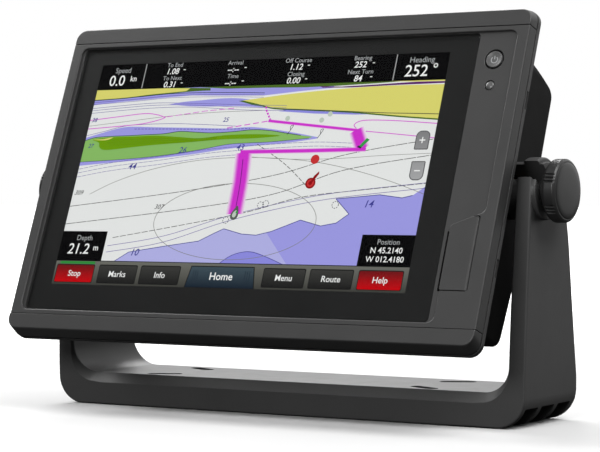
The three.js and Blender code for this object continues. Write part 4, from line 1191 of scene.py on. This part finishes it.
def chart_ground():
    """Water, shallows, shores and the tidal island."""
    x0, x1 = WINDOW_X
    tile("water", [(x0, BAR_LOW), (x1, BAR_LOW), (x1, BAR_HIGH), (x0, BAR_HIGH)], 0)
    far = smooth([(x0, 41.6), (-90, 42.4), (-76, 43.6), (-60, 44.6), (-44, 45.4), (-20, 45.2), (6, 44.8)], 5)
    tile("land", [(x0, BAR_HIGH), *far[:18], (-52, 46.4), (-66, BAR_HIGH)], 3)
    tile("shore", [(x0, 41.0), *[(x, z - 0.5) for x, z in far[:22]], (-40, 46.2), (-56, BAR_HIGH),
                   (x0, BAR_HIGH)], 2)
    tile("shallow", [(x0, 38.8), (-92, 40.2), (-78, 41.0), (-66, 41.8), (-50, 42.6), (-30, 42.0), (-8, 41.5),
                     (12, 43.2), (30, 44.4), (30, BAR_HIGH), (x0, BAR_HIGH)], 1)
    tile("shore", [(-46, BAR_HIGH), (-30, 45.6), (-8, 45.5), (14, 45.1), (30, 45.3), (52, 46.0),
                   (70, BAR_HIGH)], 3)
    tile("dusk", [(22, 45.4), (34, 44.9), (52, 45.4), (74, 46.2), (x1, 46.1), (x1, 45.2), (64, 44.9),
                  (40, 44.3), (24, 44.6)], 4)
    tile("land", [(60, BAR_HIGH), (x1, BAR_HIGH), (x1, 46.2), (72, 46.3)], 4)
    bank = smooth([(-62.5, 38.2), (-54, 39.3), (-44, 39.9), (-32, 40.6), (-22, 40.4), (-12, 39.2), (-2, 37.6),
                   (4, 36.2)], 5)
    low = smooth([(2, 34.8), (-10, 35.6), (-24, 36.4), (-38, 36.5), (-50, 36.9)], 5)
    tile("shallow", bank + low, 2)
    east = smooth([(-19.5, 39.2), (-8, 40.4), (8, 42.0), (30, 43.5), (56, 44.6), (x1, 44.6)], 6)
    south = smooth([(x1, 27.8), (70, 29.4), (52, 31.2), (34, 32.8), (16, 33.9), (0, 34.9), (-8, 36.6)], 6)
    tile("shore", [(-22, 39.0), *east, *[(x, z - 0.7) for x, z in south], (-12, 36.4)], 3)
    tile("land", east + south, 4)
    tile("shallow_deep", [(6, 33.9), (26, 32.6), (44, 31.4), (52, 30.6), (44, 30.6), (22, 31.6), (2, 33.2)],
         3)


def chart_island():
    x0 = WINDOW_X[0]
    halo_top = smooth([(x0, 21.4), (-100, 23.6), (-90, 26.0), (-82, 26.8), (-66, 26.2), (-46, 25.6),
                       (-26, 24.9), (-12, 25.4), (0, 24.2), (14, 22.0), (27, 19.6)], 5)
    halo_low = smooth([(26, 18.9), (12, 17.2), (-6, 15.9), (-24, 14.2), (-44, 11.6), (-66, 9.6), (-88, 8.0),
                       (x0, 6.4)], 5)
    tile("shallow", halo_top + halo_low, 1)
    top = smooth([(x0, 19.8), (-101, 21.6), (-88, 21.9), (-76, 22.3), (-62, 22.7), (-50, 23.9), (-38, 22.8),
                  (-24, 23.0), (-10, 24.0), (2, 23.1), (12, 21.4), (24, 19.9)], 5)
    low = smooth([(22, 19.2), (8, 18.1), (-6, 17.3), (-20, 17.0), (-36, 14.5), (-54, 12.0), (-72, 10.3),
                  (-90, 9.2), (x0, 8.4)], 5)
    tile("tidal", top + low, 2)
    olive = smooth([(-104, 20.3), (-92, 21.4), (-78, 21.6), (-66, 21.8), (-52, 20.9), (-40, 20.1),
                    (-26, 21.4), (-8, 21.7), (6, 20.7), (-8, 19.6), (-26, 19.3), (-42, 18.3), (-58, 17.4),
                    (-72, 16.5), (-84, 15.4), (-95, 14.6), (-99, 16.2), (-100, 18.6)], 4, closed=True)
    tile("marsh", olive[::-1], 3)
    tile("land", smooth([(-104, 20.2), (-98, 20.4), (-92, 21.3), (-96, 19.8)], 4, closed=True), 4)
    for shift in (0, 1.3, 2.6):
        line("marsh_line", [(-96 + shift, 19.8 - shift), (-80, 20 - shift), (-64, 20.3 - shift * 0.8),
                            (-48, 19.7 - shift * 0.6), (-30, 20.5 - shift * 0.4)], 0.16, 4)
    line("ink", top[::4], 0.3, 4)
    line("ink", low[::4], 0.22, 4)


def chart_lines():
    """Depth contours, cable lines and range rings."""
    x0, x1 = WINDOW_X
    for drop_z, kind, width in ((0, "ink", 0.28), (-1.1, "violet", 0.22), (-2.2, "violet", 0.18)):
        line(kind, [(x0, 41.3 + drop_z), (-84, 42.5 + drop_z), (-60, 43.9 + drop_z), (-30, 43.6 + drop_z),
                    (-8, 42.8 + drop_z)], width, 5)
    for i, z in enumerate((37.6, 36.4, 35.0)):
        line("violet", [(x0, z - 0.6), (-90, z + 0.6), (-70, z + 1.5), (-48, z + 0.8 + i * 0.3),
                        (-20, z - 0.6), (6, z - 1.6)], 0.2, 5)
    line("contour", [(x0, 27.5), (-84, 29.8), (-60, 32.0), (-34, 33.4), (-6, 33.8)], 0.2, 5)
    line("ink", [(4, 34.3), (20, 33.5), (40, 32.3), (58, 31.2), (74, 30.6), (x1, 30.0)], 0.34, 6)
    line("violet", [(x0, 22.4), (-98, 24.6), (-84, 27.4), (-60, 28.0), (-40, 27.2), (-20, 26.0)], 0.22, 5)
    dashes("violet", smooth([(-80, 25.5), (-60, 25.2), (-34, 24.6), (-12, 24.6)], 5), 0.3, 1.4, 0.7, 5)
    for z in (7.6, 5.6, 3.4):
        dashes("violet", smooth([(x0, z - 3), (-88, z + 0.4), (-60, z + 3.4), (-34, z + 6.6), (-10, z + 8.2),
                                 (24, z + 9.6), (46, z + 8.8)], 6), 0.2, 2.6, 0.4, 5)
    line("contour", [(-98, -8.5), (-84, -2.0), (-64, 4.2), (-40, 8.4), (-16, 9.9), (8, 9.2), (30, 7.0),
                     (52, 2.6), (72, -3.0), (x1, -8.6)], 0.24, 5)
    line("contour", [(-12, 10.4), (14, 8.8), (40, 8.9), (64, 10.2), (x1, 11.0)], 0.2, 5)
    for z0, z1, z2 in ((-15.0, -1.0, 12.4), (-24.2, -10.8, 4.6)):
        track = [(x0, z0), (-40, (z0 + z1) / 2 + 1.2), (8, z1 + 2), (44, z2 - 1.6), (x1, z2 + 5.5)]
        dashes("track", smooth(track), 0.3, 6.0, 0.45, 5)
    track = [(-78, -31.0), (-40, -24.4), (-4, -17.6), (24, -10.2), (56, -6.6), (x1, -3.4)]
    dashes("track", smooth(track), 0.3, 3.4, 0.8, 5)
    for z0, z1 in ((-35.2, -22.6), (-38.4, -25.2)):
        line("violet", [(-80, z0), (-48, z0 + 5.4), (-14, z1 + 3), (18, z1 + 10.4), (44, z1 + 14.8),
                        (x1, z1 + 19.4)], 0.24, 5)
    dashes("track", smooth([(-6, 16.6), (12, 6.2), (26, -4.6)], 6), 0.34, 2.4, 0.8, 5)
    ring = [(-10.3 + 45.4 * math.cos(a), -22.2 + 19.0 * math.sin(a)) for a in np.linspace(0, 2 * math.pi, 73)]
    start = next((i for i, (_, z) in enumerate(ring) if z <= BAR_LOW), 0)
    order = ring[start:-1] + ring[:start + 1]
    line("contour", [q for q in order if q[1] > BAR_LOW + 0.2], 0.26, 6, 2)


def chart_shallows():
    """The near shallows along the bottom, with the lighter sector ahead of the vessel."""
    x1 = WINDOW_X[1]
    shelf = [(-74, BAR_LOW), (-66.5, -38.2), (-46, -34.9), (-27.5, -32.2), (-20, -28.4), (-14.6, -25.9),
             (-4.2, -28.4), (4, -28.9), (12, -27.0), (26.6, -21.3), (38, -24.1), (46, -22.6), (51.8, -18.2),
             (43.4, -10.9), (55, -9.9), (66, -8.9), (77.8, -10.4), (83, -9.2), (x1, -5.0), (x1, BAR_LOW)]
    tile("shallow", shelf[::-1], 1)
    tile("shallow_pale", [*shelf[:8], (9.4, -27.6), (24, BAR_LOW)][::-1], 2)
    shoal = [(-13, BAR_LOW), (-8, -39.4), (-2, -37.4), (4, -37.2), (12, -39.4), (22, BAR_LOW)]
    tile("shallow_deep", smooth(shoal, 4)[::-1], 3)
    for a in range(1, len(shelf) - 2):
        tile("ink_blue", ribbon(shelf[a - 1:a + 1], 0.34), 4)
    line("ink_blue", shoal, 0.3, 4)


def chart_route():
    """The highlighted route from the vessel, with soft edges, and the course limits in magenta."""
    legs = [([(-10.4, -18.6), (-10.9, -2), (-12.5, 12.4)], 9.4), ([(51.9, 13.4), (46.9, 22.9)], 7.6),
            ([(-14.6, 12.7), (20, 12.9), (54, 13.3)], 2.4), ([(48.6, 22.6), (22, 25.6), (-2.5, 28.4)], 1.7)]
    shades = (1.0, "route_halo"), (0.84, "route_mist"), (0.7, "route_soft"), (0.56, "route")
    for layer, (glow, kind) in enumerate(shades, 6):
        for leg, width in legs:
            tile(kind, ribbon(leg, width * glow), layer)
    line("ink_violet", [(-10.3, -18.4), (-10.8, -4), (-12.2, 9)], 0.34, 10)
    dashes("route", [(-1.4, 28.6), (-4.6, 33.4), (-5.6, 35.8)], 0.9, 1.1, 0.7, 6)
    dashes("route_soft", [(-3, 28.2), (-26, 25.0)], 0.5, 3.2, 1.6, 6)
    x0, x1 = WINDOW_X
    for points in ([(x0, 30.6), (-92, 32.2), (-76, 33.6), (-68, 32.8), (-63.4, 31.4)],
                   [(x0, 26.0), (-92, 27.0), (-76, 28.2), (-66, 30.2), (-62.6, 31.6)],
                   [(47, 23.4), (45.2, 25.6), (50, 27.6), (66, 27.2), (x1, 25.4)],
                   [(52, 22.2), (66, 20.8), (x1, 18.4)]):
        line("route_soft", points, 0.42, 6)
    dashes("route_soft", [(-62, 31.6), (-40, 34.2), (-22, 35.4)], 0.34, 3.6, 1.4, 6)


def chart_marks():
    """Buoys, soundings, the vessel and the two zoom keys."""
    for x, z, size, text in ((-76.2, 5.7, 4.6, "44"), (-48.4, 13.9, 4.4, "26"), (-15.4, 14.9, 4.4, "43"),
                             (-27, 29.3, 3.2, "25"), (-63.2, -38.4, 5.0, "10"), (61.0, -13.5, 5.0, "14"),
                             (-106, 30.6, 3.2, "38"), (-104.5, 16.8, 3.0, "27")):
        words("ink_blue", text, x, z, size, 8, 0.03, 0.25)
    for x, z, text in ((-105.0, -7.9, "309"), (-54.8, -15.2, "307")):
        words("track", text, x, z, 3.4, 8, 0.02, 0.3)
    tile("red", disc(27.8, 8.6, 2.3, 32), 8)
    ringed_buoy = ("red_dark", 2.7, 32), ("red", 1.9, 32), ("red_dark", 1.0, 24)
    for layer, (kind, radius, count) in enumerate(ringed_buoy, 8):
        tile(kind, disc(27.9, -3.2, radius, count), layer)
    tile("red_dark", [(27.4, -3.4), (28.4, -3.6), (31.6, 1.4), (31.4, 2.6), (29.2, 0.4)], 11)
    for x, z in ((3, 26.2), (22, 25.0), (26, 28.0)):
        tile("ghost", disc(x + 5, z + 3.2, 1.3, 16), 6)
    for x, z in ((9.5, 21.2), (26.5, 19.0)):
        line("ink", [(x, z), (x + 1.4, z + 2.2), (x + 2.6, z + 4.6), (x + 1.2, z + 4.2), (x + 1.4, z + 2.2)],
             0.22, 8)
    tile("green_mark", [(49.4, 14.2), (51.4, 14.0), (55.0, 18.0), (53.4, 18.8)], 11)
    tile("ink", [(49.0, 14.4), (51.0, 13.6), (51.6, 14.2), (49.8, 15.2)], 12)
    hull = smooth([(-12.2, -20.8), (-9.9, -21.4), (-8.4, -19.6), (-8.6, -16.4), (-9.6, -14.4), (-11.0, -16.0),
                   (-12.4, -18.4)], 4, closed=True)
    tile("hull", hull, 11)
    tile("ghost", smooth([(-11.4, -19.9), (-10.1, -20.2), (-9.4, -19.0), (-9.6, -16.8), (-10.6, -17.2),
                          (-11.5, -18.6)], 4, closed=True), 12)
    tile("green_mark", disc(-9.3, -17.6, 0.6, 16), 13)
    for x, z, size in ((-14.6, -21.6, 1.6), (3.0, -14.0, 1.6), (5.8, -13.4, 1.6), (43.6, -13.8, 1.7)):
        dashes("ink", arc(x, z, size, 0, 6.3, 25), 0.26, 0.75, 0.5, 8)
    for x, z, below, above in ((82.6, 17.4, 0.6, 2.8), (82.8, 2.6, 2.8, 0.6)):
        shape = rounded([(x - 3.6, z - 4.6, below), (x + 3.6, z - 4.6, below), (x + 3.6, z + 4.6, above),
                         (x - 3.6, z + 4.6, above)])
        tile("key_rim", shape, 7)
        tile("key", grown(shape, -0.45), 8)
        tile("white", ribbon([(x - 1.5, z), (x + 1.5, z)], 0.55), 9)
        if below < above:
            tile("white", ribbon([(x, z - 1.5), (x, z + 1.5)], 0.55), 10)


def data_bar():
    """The black bar of readings along the top, and the two boxes above the key bar."""
    x0, x1 = WINDOW_X
    tile("black", [(x0, BAR_HIGH), (x1, BAR_HIGH), (x1, WINDOW_Z[1]), (x0, WINDOW_Z[1])], 6)
    for x in (-81.4, 61.0):
        tile("silver", ribbon([(x, BAR_HIGH + 0.4), (x, WINDOW_Z[1] - 0.2)], 0.5), 7)
    words("label", "Speed", -95.0, 57.0, 4.0, 8)
    words("white", "0.0", -97.5, 51.4, 8.0, 8, 0.05)
    words("white", "kn", -87.6, 52.4, 4.2, 8, 0.04)
    words("label", "Heading", 74.6, 57.0, 4.0, 8)
    words("white", "252", 72.6, 51.4, 8.2, 8, 0.05)
    dashes("white", arc(82.2, 54.0, 0.9, 0, 6.3, 20), 0.5, 9, 0, 8)
    for x, upper, first, lower, second in ((-64, "To End", "1.08", "To Next", "0.31"),
                                           (-28.3, "Arrival", "--:--", "Time", "--:--"),
                                           (7.5, "Off Course", "1.12", "Closing", "0.00"),
                                           (42.9, "Bearing", "252", "Next Turn", "84")):
        for label, reading, z in ((upper, first, 59.0), (lower, second, 52.0)):
            words("label", label, x, z, 3.2, 8)
            words("white", reading, x - 0.8, z - 3.4, 4.4, 8, 0.05, 0.15)
        for z in (56.4, 49.4):
            tile("white", ribbon([(x + 5.6, z), (x + 6.8, z)], 0.4), 8)
    tile("black", rectangle(x0, -81.8, BAR_LOW - 0.2, -27.9), 14)
    words("label", "Depth", -94.6, -31.4, 3.8, 15)
    words("white", "21.2", -97.0, -37.2, 7.6, 15, 0.05, 0.1)
    words("white", "m", -86.6, -36.4, 4.2, 15, 0.04)
    tile("black", rectangle(61.2, x1, BAR_LOW - 0.2, -28.1), 14)
    words("label", "Position", 75.4, -31.6, 3.6, 15)
    words("white", "N 45.2140", 75.0, -35.6, 3.9, 15, 0.04)
    words("white", "W 012.4180", 75.0, -39.8, 3.9, 15, 0.04)


def key_bar():
    """The grey bar of touch keys along the bottom."""
    x0, x1 = WINDOW_X
    tile("bar", [(x0, WINDOW_Z[0]), (x1, WINDOW_Z[0]), (x1, BAR_LOW), (x0, BAR_LOW)], 9)
    tile("bar_edge", ribbon([(x0, BAR_LOW), (x1, BAR_LOW)], 0.4), 10)
    tile("green_strip", rectangle(-106.0, -84.9, -44.6, -43.4), 11)
    keys = [(-107.2, -84.9, "red_key", "Stop"), (-81.4, -59.4, "dark_key", "Marks"),
            (-56.6, -34.3, "dark_key", "Info"), (12.9, 35.0, "dark_key", "Menu"),
            (38.0, 60.2, "dark_key", "Route"), (63.5, 85.8, "red_key", "Help")]
    for left, right, kind, text in keys:
        tile("key_shadow", rectangle(left - 0.4, right + 0.4, -54.3, -44.8, 0.9), 11)
        tile(kind, rectangle(left, right, -53.9, -45.3, 0.7), 12)
        words("white", text, (left + right) / 2, -49.6, 4.2, 13, 0.035, 0.05)
    home = [(-29.6, WINDOW_Z[0] + 0.2), (8.6, WINDOW_Z[0] + 0.2), (6.8, -44.9), (-27.8, -44.9)]
    tile("key_shadow", grown(home, 0.45), 11)
    tile("home_key", home, 12)
    words("white", "Home", -10.4, -49.6, 5.2, 13, 0.06)
    for x in (-26.2, -25.0, -23.8, 2.8, 4.0, 5.2):
        tile("home_line", ribbon([(x, -52.4), (x, -46.6)], 0.3), 13)


PLAIN = {
    "water": (239, 240, 240), "shallow": (163, 160, 236), "shallow_pale": (184, 183, 238),
    "shallow_deep": (146, 144, 232), "land": (226, 220, 116), "shore": (78, 110, 40), "dusk": (96, 40, 110),
    "tidal": (140, 192, 104), "marsh": (110, 160, 12), "marsh_line": (84, 128, 6), "ink": (38, 46, 60),
    "ink_blue": (66, 66, 150), "ink_violet": (86, 20, 110), "violet": (106, 92, 168),
    "contour": (136, 136, 132), "track": (84, 86, 84), "route": (214, 52, 212),
    "route_soft": (222, 100, 220), "route_mist": (231, 158, 230), "route_halo": (238, 208, 238),
    "red": (206, 52, 54), "red_dark": (150, 14, 20), "ghost": (196, 208, 196), "green_mark": (60, 160, 76),
    "green_strip": (46, 146, 60), "hull": (92, 96, 92), "key_rim": (96, 96, 98), "white": (246, 246, 246),
    "label": (176, 178, 180), "silver": (170, 170, 172), "black": (4, 4, 5), "bar_edge": (40, 42, 52),
    "key_shadow": (28, 28, 28), "home_line": (34, 46, 58),
}
# lower colour, upper colour and the heights between which one turns into the other
SHADED = {
    "key": ((176, 176, 178), (128, 128, 130), (-4, 24)),
    "bar": ((66, 66, 62), (112, 112, 106), (-55, -43)),
    "dark_key": ((30, 30, 30), (62, 62, 60), (-54, -45)),
    "red_key": ((196, 8, 18), (120, 22, 26), (-53, -46)),
    "home_key": ((24, 36, 50), (66, 82, 92), (-55, -45)),
}


def screen_picture():
    for draw in (chart_ground, chart_island, chart_lines, chart_shallows, chart_route, chart_marks, data_bar,
                 key_bar):
        draw()
    for kind, meshes in PICTURE.items():
        name = f"screen_{kind}"
        finish = lit(name, *SHADED[kind]) if kind in SHADED else lit(name, PLAIN[kind])
        obj = show(together(meshes), name, "display", finish, slot="display_cell", sharp=30, weld=1e-4)
        obj.modifiers.clear()


# ---------------------------------------------------------------- carried-over nodes

CARRIED = {
    "glass_adhesive": RUBBER, "lcd_panel": CELL, "backlight_tray": STEEL, "chassis_plate": ALUMINIUM,
    "button_seal": RUBBER, "power_switch": NYLON, "button_board": BOARD, "light_sensor_chip": NYLON,
    "card_door_pin": STEEL, "card_door_seal": RUBBER, "card_board": BOARD, "card_socket_upper": STEEL,
    "card_socket_lower": STEEL, "housing_gasket": RUBBER, "main_board": BOARD, "shield_can": STEEL,
    "heat_sink": ALUMINIUM, "gps_antenna": CERAMIC, "threaded_insert_left": BRASS,
    "threaded_insert_right": BRASS,
}


def carry_over():
    """CAD nodes whose shape stays: a better material and softened edges."""
    for name, finish in CARRIED.items():
        obj = NODES[name]
        obj.data.materials.clear()
        obj.data.materials.append(finish)
        weld = obj.modifiers.new("weld", "WELD")
        weld.merge_threshold = 1e-3 * MM
        soft = obj.modifiers.new("soft edges", "BEVEL")
        soft.width = 0.12 * MM
        soft.segments = 2
        soft.limit_method = "ANGLE"
        soft.angle_limit = math.radians(40)


# ---------------------------------------------------------------- room, lights and camera

FLOOR_HALF, FLOOR_BELOW = 6, 0.0002
FLOOR_PAPER = (0.7, 0.7, 0.7, 1), (0.73, 0.73, 0.73, 1)
FLOOR_BOUNCE = (0.04, 0.04, 0.04, 1)  # the floor's colour as the object sees it
FLOOR_GLOW = (0.0, 1.2, 0.28, 1.0)  # the glow near and far, and the distances of both
# direction, strength away from it and towards it, cosine where the light starts to grow
ROOM_ABOVE = (0, 0, 1), 0.03, 0.5, 0.0
ROOM_BEHIND = (0.0, 0.98, 0.1), 0.0, 1.0, 0.5
TARGET = (0, 0, 0.09)
# name, place, size, power
LAMPS = (
    ("top_softbox", (0.85, -0.25, 1.15), (0.9, 0.9), 15),
    ("front_softbox", (0.15, -1.45, 0.6), (0.7, 0.4), 10),
    ("left_softbox", (-1.05, -0.1, 1.0), (0.6, 0.6), 9),
    ("rim_softbox", (-0.8, 0.85, 1.0), (1.0, 0.7), 15),
)
CAMERA_PLACE, CAMERA_LENS = (0.57271, -0.89840, 0.11297), 134.07
CAMERA_YAW, CAMERA_PITCH, CAMERA_ROLL = (math.radians(a) for a in (32.344, -1.297, -0.310))


def backdrop():
    """A white paper floor that catches the contact shadow but throws little light back up."""
    mesh = bmesh.new()
    mesh.faces.new([mesh.verts.new((x * FLOOR_HALF, y * FLOOR_HALF, -FLOOR_BELOW))
                    for x, y in ((-1, -1), (1, -1), (1, 1), (-1, 1))])
    floor = as_object(mesh, "floor")
    n = Finish("floor_paper")
    paper = n.blend(n.ramp(n.noise(6, 3), 0, 1), *FLOOR_PAPER)
    seen = n.camera_ray()
    away = n.add("ShaderNodeVectorMath", {0: n.place}, operation="LENGTH").outputs["Value"]
    glow = n.product(n.ramp(away, *FLOOR_GLOW), seen)
    floor.data.materials.append(n.set(
        Base_Color=n.blend(seen, FLOOR_BOUNCE, paper), Emission_Color=WHITE, Emission_Strength=glow,
        Roughness=0.9, Specular_IOR_Level=0.0))


def room_light():
    """A white room to the camera, and a softer graded one to the object."""
    world = bpy.data.worlds.new("room")
    bpy.context.scene.world = world
    world.use_nodes = True
    world.node_tree.nodes.clear()
    n = Nodes(world.node_tree, "Generated")
    above, behind = (n.ramp(n.along(Vector(direction).normalized()), low, high, start, 1.0,
                            interpolation_type="SMOOTHSTEP")
                     for direction, low, high, start in (ROOM_ABOVE, ROOM_BEHIND))
    total = n.add("ShaderNodeMath", {0: above, 1: behind}).outputs[0]
    soft = n.add("ShaderNodeBackground", {"Color": WHITE, "Strength": total})
    white = n.add("ShaderNodeBackground", {"Color": WHITE})
    n.add("ShaderNodeOutputWorld", {"Surface": n.mix(n.camera_ray(), soft, white)})


def lamp(name, place, size, power):
    data = bpy.data.lights.new(name, "AREA")
    data.shape = "RECTANGLE"
    data.size, data.size_y = size
    data.energy = power
    obj = bpy.data.objects.new(name, data)
    obj.location = place
    obj.rotation_euler = (Vector(TARGET) - Vector(place)).to_track_quat("-Z", "Y").to_euler()
    bpy.context.scene.collection.objects.link(obj)


def camera():
    data = bpy.data.cameras.new("camera")
    data.lens, data.sensor_width = CAMERA_LENS, 36.0
    data.clip_start, data.clip_end = 0.05, 30
    obj = bpy.data.objects.new("camera", data)
    level = math.cos(CAMERA_PITCH)
    ahead = Vector((-math.sin(CAMERA_YAW) * level, math.cos(CAMERA_YAW) * level, math.sin(CAMERA_PITCH)))
    side = ahead.cross(Vector((0, 0, 1))).normalized()
    top = side.cross(ahead)
    right = math.cos(CAMERA_ROLL) * side + math.sin(CAMERA_ROLL) * top
    up = math.cos(CAMERA_ROLL) * top - math.sin(CAMERA_ROLL) * side
    turn = Matrix((right, up, -ahead)).transposed().to_4x4()
    obj.matrix_world = Matrix.Translation(CAMERA_PLACE) @ turn
    bpy.context.scene.collection.objects.link(obj)
    bpy.context.scene.camera = obj


# ---------------------------------------------------------------- everything

front_bezel()
trim_cap(1, "top", 0.0)
trim_cap(-1, "bottom", -0.5)
glass_and_print()
power_button()
power_symbol()
light_sensor()
card_door()
memory_card("memory_card_upper")
memory_card("memory_card_lower")
rear_housing()
ports()
port_cap("port_cap_data", "data")
port_cap("port_cap_sonar", "sonar")
vent_plug()
for row in ("top", "bottom"):
    for i in (1, 2, 3, 4):
        screw(f"case_screw_{row}_{i}", 2.7)
    for i in (1, 2):
        screw(f"board_screw_{row}_{i}", 2.2)
bail()
knob(-1, "left")
knob(1, "right")
screen_picture()
carry_over()
backdrop()
room_light()
for settings in LAMPS:
    lamp(*settings)
camera()
bpy.context.scene.view_settings.view_transform = "Standard"

bpy.context.view_layer.update()
